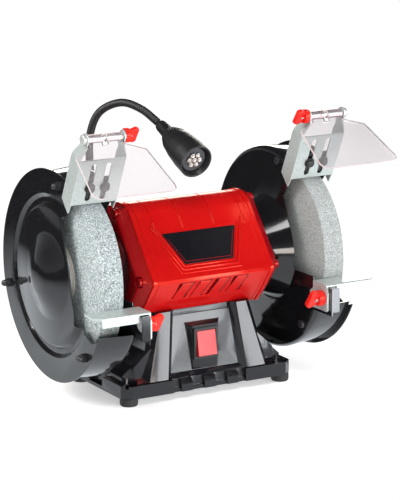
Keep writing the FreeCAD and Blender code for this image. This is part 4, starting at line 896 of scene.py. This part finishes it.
class GRINDER_OT_lamp(Step):
    """Work lamp: socket, gooseneck, head and emitters"""
    bl_idname = "grinder.lamp"
    bl_label = "Lamp"

    def make(self):
        softened("lamp_socket", "base black", sizes().cast_edge)
        softened("lamp_head", "matt black", 0.0005)
        softened("lamp_leds", "led plate", 0.0003)
        foot = Vector((-66.0, 84.0, 158.0)) * MM
        elbow = Vector((-66.0, 84.0, 272.0)) * MM
        crown = Vector((-41.5, 56.5, 309.0)) * MM
        collar = Vector((-15.3, 21.5, 290.0)) * MM
        middle_bow = Vector((-58.25, 75.25, 297.5)) * MM
        upper_bow = Vector((-27.2, 37.5, 303.4)) * MM
        knots = [foot, foot.lerp(elbow, 0.5), elbow, middle_bow, crown, upper_bow, collar]
        line = curve_through(knots, 40)
        reach = [0.0]
        for a, b in zip(line, line[1:]):
            reach.append(reach[-1] + (b - a).length)
        split_low, split_high = nearest(line, middle_bow), nearest(line, upper_bow)
        ends = ((0, split_low, "lower", "lamp_stem", "lamp_bow", elbow),
                (split_low, split_high, "middle", "lamp_bow", "lamp_reach", crown),
                (split_high, len(line) - 1, "upper", "lamp_reach", "lamp", collar))
        for first, last, part, body, next_body, bend in ends:
            node = "lamp_neck_" + part
            bm = bmesh.new()
            ringed_tube(bm, line[first:last + 1], reach[first:last + 1])
            piece = new_piece("neck_skin_" + part, bm, None, "neck skin", 80.0)
            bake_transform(piece)
            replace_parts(piece, node)
        ferrule = bmesh.new()
        profile = [(0.3, 4.4), (0.3, 7.0), (0.9, 7.5), (7.2, 7.5), (8.6, 6.6), (9.3, 4.6)]
        lathed(ferrule, [(a * MM, r * MM) for a, r in profile], foot, (0.0, 0.0, 1.0), 48, closed=True)
        new_piece("neck_ferrule", ferrule, "lamp_stem", "matt black")
        dip = math.radians(20.0)
        ahead = Vector((0.0, -math.cos(dip), -math.sin(dip)))
        side = Vector((1.0, 0.0, 0.0))
        over = ahead.cross(side)
        ribs = bmesh.new()
        count = sizes().grip_ribs
        for k in range(count):
            angle = math.tau * k / count
            out = side * math.cos(angle) + over * math.sin(angle)
            across = ahead.cross(out)
            stations = [(8.0, 6.2), (24.0, 6.9), (29.0, 10.0), (38.0, 13.8), (41.0, 14.5)]
            points = [collar + ahead * (a * MM) + out * (r * MM) for a, r in stations]
            wide = 0.45 * MM
            section = [(-wide, -0.3 * MM), (-wide * 0.6, 0.45 * MM), (wide * 0.6, 0.45 * MM), (wide, -0.3 * MM)]
            swept(ribs, points, [(across, out)] * len(points), section)
        new_piece("lamp_ribs", ribs, "lamp", "matt black")
        domes = bmesh.new()
        spots = [Vector((0.0, 0.0))] + [Vector((math.cos(math.tau * k / 6), math.sin(math.tau * k / 6))) * 6.2 * MM
                                        for k in range(6)]
        for spot in spots:
            centre = collar + ahead * (83.9 * MM) + side * spot.x + over * spot.y
            profile = [(0.0, 2.5), (0.5, 2.5), (0.6, 2.1), (1.4, 2.0), (2.1, 1.5), (2.5, 0.8), (2.6, 0.0)]
            lathed(domes, [(a * MM, r * MM) for a, r in profile], centre, ahead, 24)
        new_piece("lamp_emitters", domes, "lamp", "chip")


class GRINDER_OT_inside(Step):
    """Motor parts inside the housing and base"""
    bl_idname = "grinder.inside"
    bl_label = "Inside"

    def make(self):
        plain_finish("laminations", "rotor_core", "stator_core")
        plain_finish("copper", "stator_windings")
        plain_finish("steel", "bearing_inner_rings", "bearing_outer_rings", "bearing_balls", "bearing_wave_washer")
        plain_finish("can metal", "capacitor")
        plain_finish("bush", "terminal_block")


# ---- studio ---------------------------------------------------------------------------------------
def area_light(name, place, aim, width, height, power, colour=(1.0, 1.0, 1.0)):
    data = bpy.data.lights.new(name, "AREA")
    data.shape = "RECTANGLE"
    data.size = width
    data.size_y = height
    data.energy = power
    data.color = colour
    lamp = bpy.data.objects.new(name, data)
    lamp.location = place
    lamp.rotation_mode = "QUATERNION"
    lamp.rotation_quaternion = (Vector(aim) - Vector(place)).to_track_quat("-Z", "Y")
    bpy.context.scene.collection.objects.link(lamp)


def studio_world():
    world = bpy.data.worlds.new("Studio air")
    bpy.context.scene.world = world
    world.use_nodes = True
    tree = world.node_tree
    tree.nodes.clear()
    path = add(tree, "ShaderNodeLightPath")
    direction = add(tree, "ShaderNodeTexCoord").outputs["Generated"]
    height = add(tree, "ShaderNodeSeparateXYZ", {0: direction}).outputs["Z"]
    dim = band(tree, height, -0.02, 0.35, 0.30, 0.05)
    bright = add(tree, "ShaderNodeBackground", {"Color": (1.0, 1.0, 1.0, 1.0), "Strength": 1.05})
    shade = maths(tree, "ADD", maths(tree, "MULTIPLY", path.outputs["Is Diffuse Ray"], 0.35), dim)
    room = add(tree, "ShaderNodeBackground", {"Color": (0.93, 0.96, 1.0, 1.0), "Strength": shade})
    pick = add(tree, "ShaderNodeMixShader", {0: path.outputs["Is Camera Ray"], 1: room.outputs[0],
                                             2: bright.outputs[0]})
    out = add(tree, "ShaderNodeOutputWorld")
    tree.links.new(pick.outputs[0], out.inputs[0])


def pale_floor():
    """A wide pale floor that the glossy paint sees as a light patch under the machine."""
    bm = bmesh.new()
    rings = [0.0, 0.2, 0.4, 0.7, 1.2, 2.4, 5.0, 9.0]
    steps = 64
    last = [bm.verts.new((0.0, 0.0, 0.0))]
    for radius in rings[1:]:
        ring = [bm.verts.new((radius * math.cos(math.tau * i / steps), radius * math.sin(math.tau * i / steps), 0.0))
                for i in range(steps)]
        for i in range(steps):
            j = (i + 1) % steps
            if len(last) == 1:
                bm.faces.new((last[0], ring[i], ring[j]))
            else:
                bm.faces.new((last[i], ring[i], ring[j], last[j]))
        last = ring
    mesh = bpy.data.meshes.new("pale_floor")
    bm.to_mesh(mesh)
    bm.free()
    material, tree, shader = surface("Pale floor", Base_Color=(0.86, 0.86, 0.86), Roughness=0.9,
                                     Specular_IOR_Level=0.1)
    where = add(tree, "ShaderNodeTexCoord").outputs["Object"]
    far = add(tree, "ShaderNodeVectorMath", {0: where}, operation="LENGTH").outputs["Value"]
    path = add(tree, "ShaderNodeLightPath")
    ahead = add(tree, "ShaderNodeVectorMath", {0: where, 1: (0.62, -1.12, 0.0)}, operation="DISTANCE").outputs["Value"]
    patch = maths(tree, "MAXIMUM", band(tree, far, 0.50, 0.95, 0.85, 0.03), band(tree, ahead, 0.65, 1.0, 0.55, 0.03))
    spot = add(tree, "ShaderNodeVectorMath", {0: where, 1: (0.29, -0.56, 0.0)}, operation="DISTANCE").outputs["Value"]
    patch = maths(tree, "MAXIMUM", patch, band(tree, spot, 0.12, 0.24, 9.0, 0.0))
    seen = add(tree, "ShaderNodeEmission", {"Color": (0.90, 0.95, 1.0, 1.0), "Strength": patch})
    white = add(tree, "ShaderNodeEmission", {"Color": (1.0, 1.0, 1.0, 1.0), "Strength": 1.05})
    glow = add(tree, "ShaderNodeEmission", {"Color": (1.0, 1.0, 1.0, 1.0), "Strength": 0.42})
    near = add(tree, "ShaderNodeAddShader", {0: shader.outputs[0], 1: glow.outputs[0]})
    fade = add(tree, "ShaderNodeMixShader", {0: band(tree, far, 0.15, 0.36), 1: near.outputs[0], 2: white.outputs[0]})
    direct = add(tree, "ShaderNodeMixShader", {0: path.outputs["Is Camera Ray"], 1: near.outputs[0],
                                               2: fade.outputs[0]})
    pick = add(tree, "ShaderNodeMixShader", {0: path.outputs["Is Glossy Ray"], 1: direct.outputs[0],
                                             2: seen.outputs[0]})
    tree.links.new(pick.outputs[0], tree.nodes["Material Output"].inputs["Surface"])
    mesh.materials.append(material)
    floor = bpy.data.objects.new("pale_floor", mesh)
    bpy.context.scene.collection.objects.link(floor)


def viewpoint():
    data = bpy.data.cameras.new("Viewpoint")
    data.lens = 173.6
    data.sensor_width = 36.0
    camera = bpy.data.objects.new("Viewpoint", data)
    place = Vector((-1.2932, -2.2415, 0.7584))
    aim = Vector((0.0252, -0.0005, 0.1462))
    camera.location = place
    camera.rotation_mode = "QUATERNION"
    camera.rotation_quaternion = (aim - place).to_track_quat("-Z", "Y")
    bpy.context.scene.collection.objects.link(camera)
    bpy.context.scene.camera = camera


class GRINDER_OT_stage(Step):
    """Pale floor, soft lights, air and viewpoint"""
    bl_idname = "grinder.stage"
    bl_label = "Studio"

    def make(self):
        bpy.context.scene.view_settings.view_transform = "Standard"
        studio_world()
        pale_floor()
        middle = (0.0, 0.0, 0.16)
        area_light("Front window", (1.0, -1.80, 0.42), (0.0, 0.0, 0.30), 1.5, 0.84, 34.0, (0.94, 0.97, 1.0))
        area_light("Left window", (-1.35, 0.20, 1.0), middle, 0.8, 0.8, 26.0, (1.0, 0.98, 0.95))
        area_light("Overhead", (-0.5, -0.95, 1.7), middle, 0.8, 0.8, 16.0)
        area_light("Right window", (1.85, 0.20, 0.80), middle, 0.7, 0.8, 14.0, (1.0, 0.97, 0.93))
        area_light("Low bounce", (-0.30, -0.95, 0.12), (0.0, -0.06, 0.12), 0.8, 0.18, 3.5, (1.0, 0.90, 0.84))
        area_light("Back window", (1.0, 1.7, 0.62), middle, 1.1, 0.5, 9.0, (1.0, 0.95, 0.88))
        viewpoint()


STEPS = (GRINDER_OT_stage, GRINDER_OT_guards, GRINDER_OT_housing, GRINDER_OT_wheels, GRINDER_OT_rests,
         GRINDER_OT_deflectors, GRINDER_OT_base, GRINDER_OT_lamp, GRINDER_OT_inside)


class GRINDER_PT_steps(bpy.types.Panel):
    """The building steps, their sizes and their colours"""
    bl_label = "Bench grinder"
    bl_idname = "GRINDER_PT_steps"
    bl_space_type = "VIEW_3D"
    bl_region_type = "UI"
    bl_category = "Grinder"

    def draw(self, context):
        for step in STEPS:
            self.layout.operator(step.bl_idname)
        for group in (context.scene.grinder_sizes, context.scene.grinder_colours):
            column = self.layout.column()
            for label in group.__annotations__:
                column.prop(group, label)


CLASSES = (GrinderSizes, GrinderColours) + STEPS + (GRINDER_PT_steps,)


def register():
    for item in CLASSES:
        bpy.utils.register_class(item)
    bpy.types.Scene.grinder_sizes = PointerProperty(type=GrinderSizes)
    bpy.types.Scene.grinder_colours = PointerProperty(type=GrinderColours)


def unregister():
    del bpy.types.Scene.grinder_colours
    del bpy.types.Scene.grinder_sizes
    for item in reversed(CLASSES):
        bpy.utils.unregister_class(item)


def main():
    register()
    for step in STEPS:
        group, name = step.bl_idname.split(".")
        getattr(getattr(bpy.ops, group), name)()


if __name__ == "__main__":
    main()
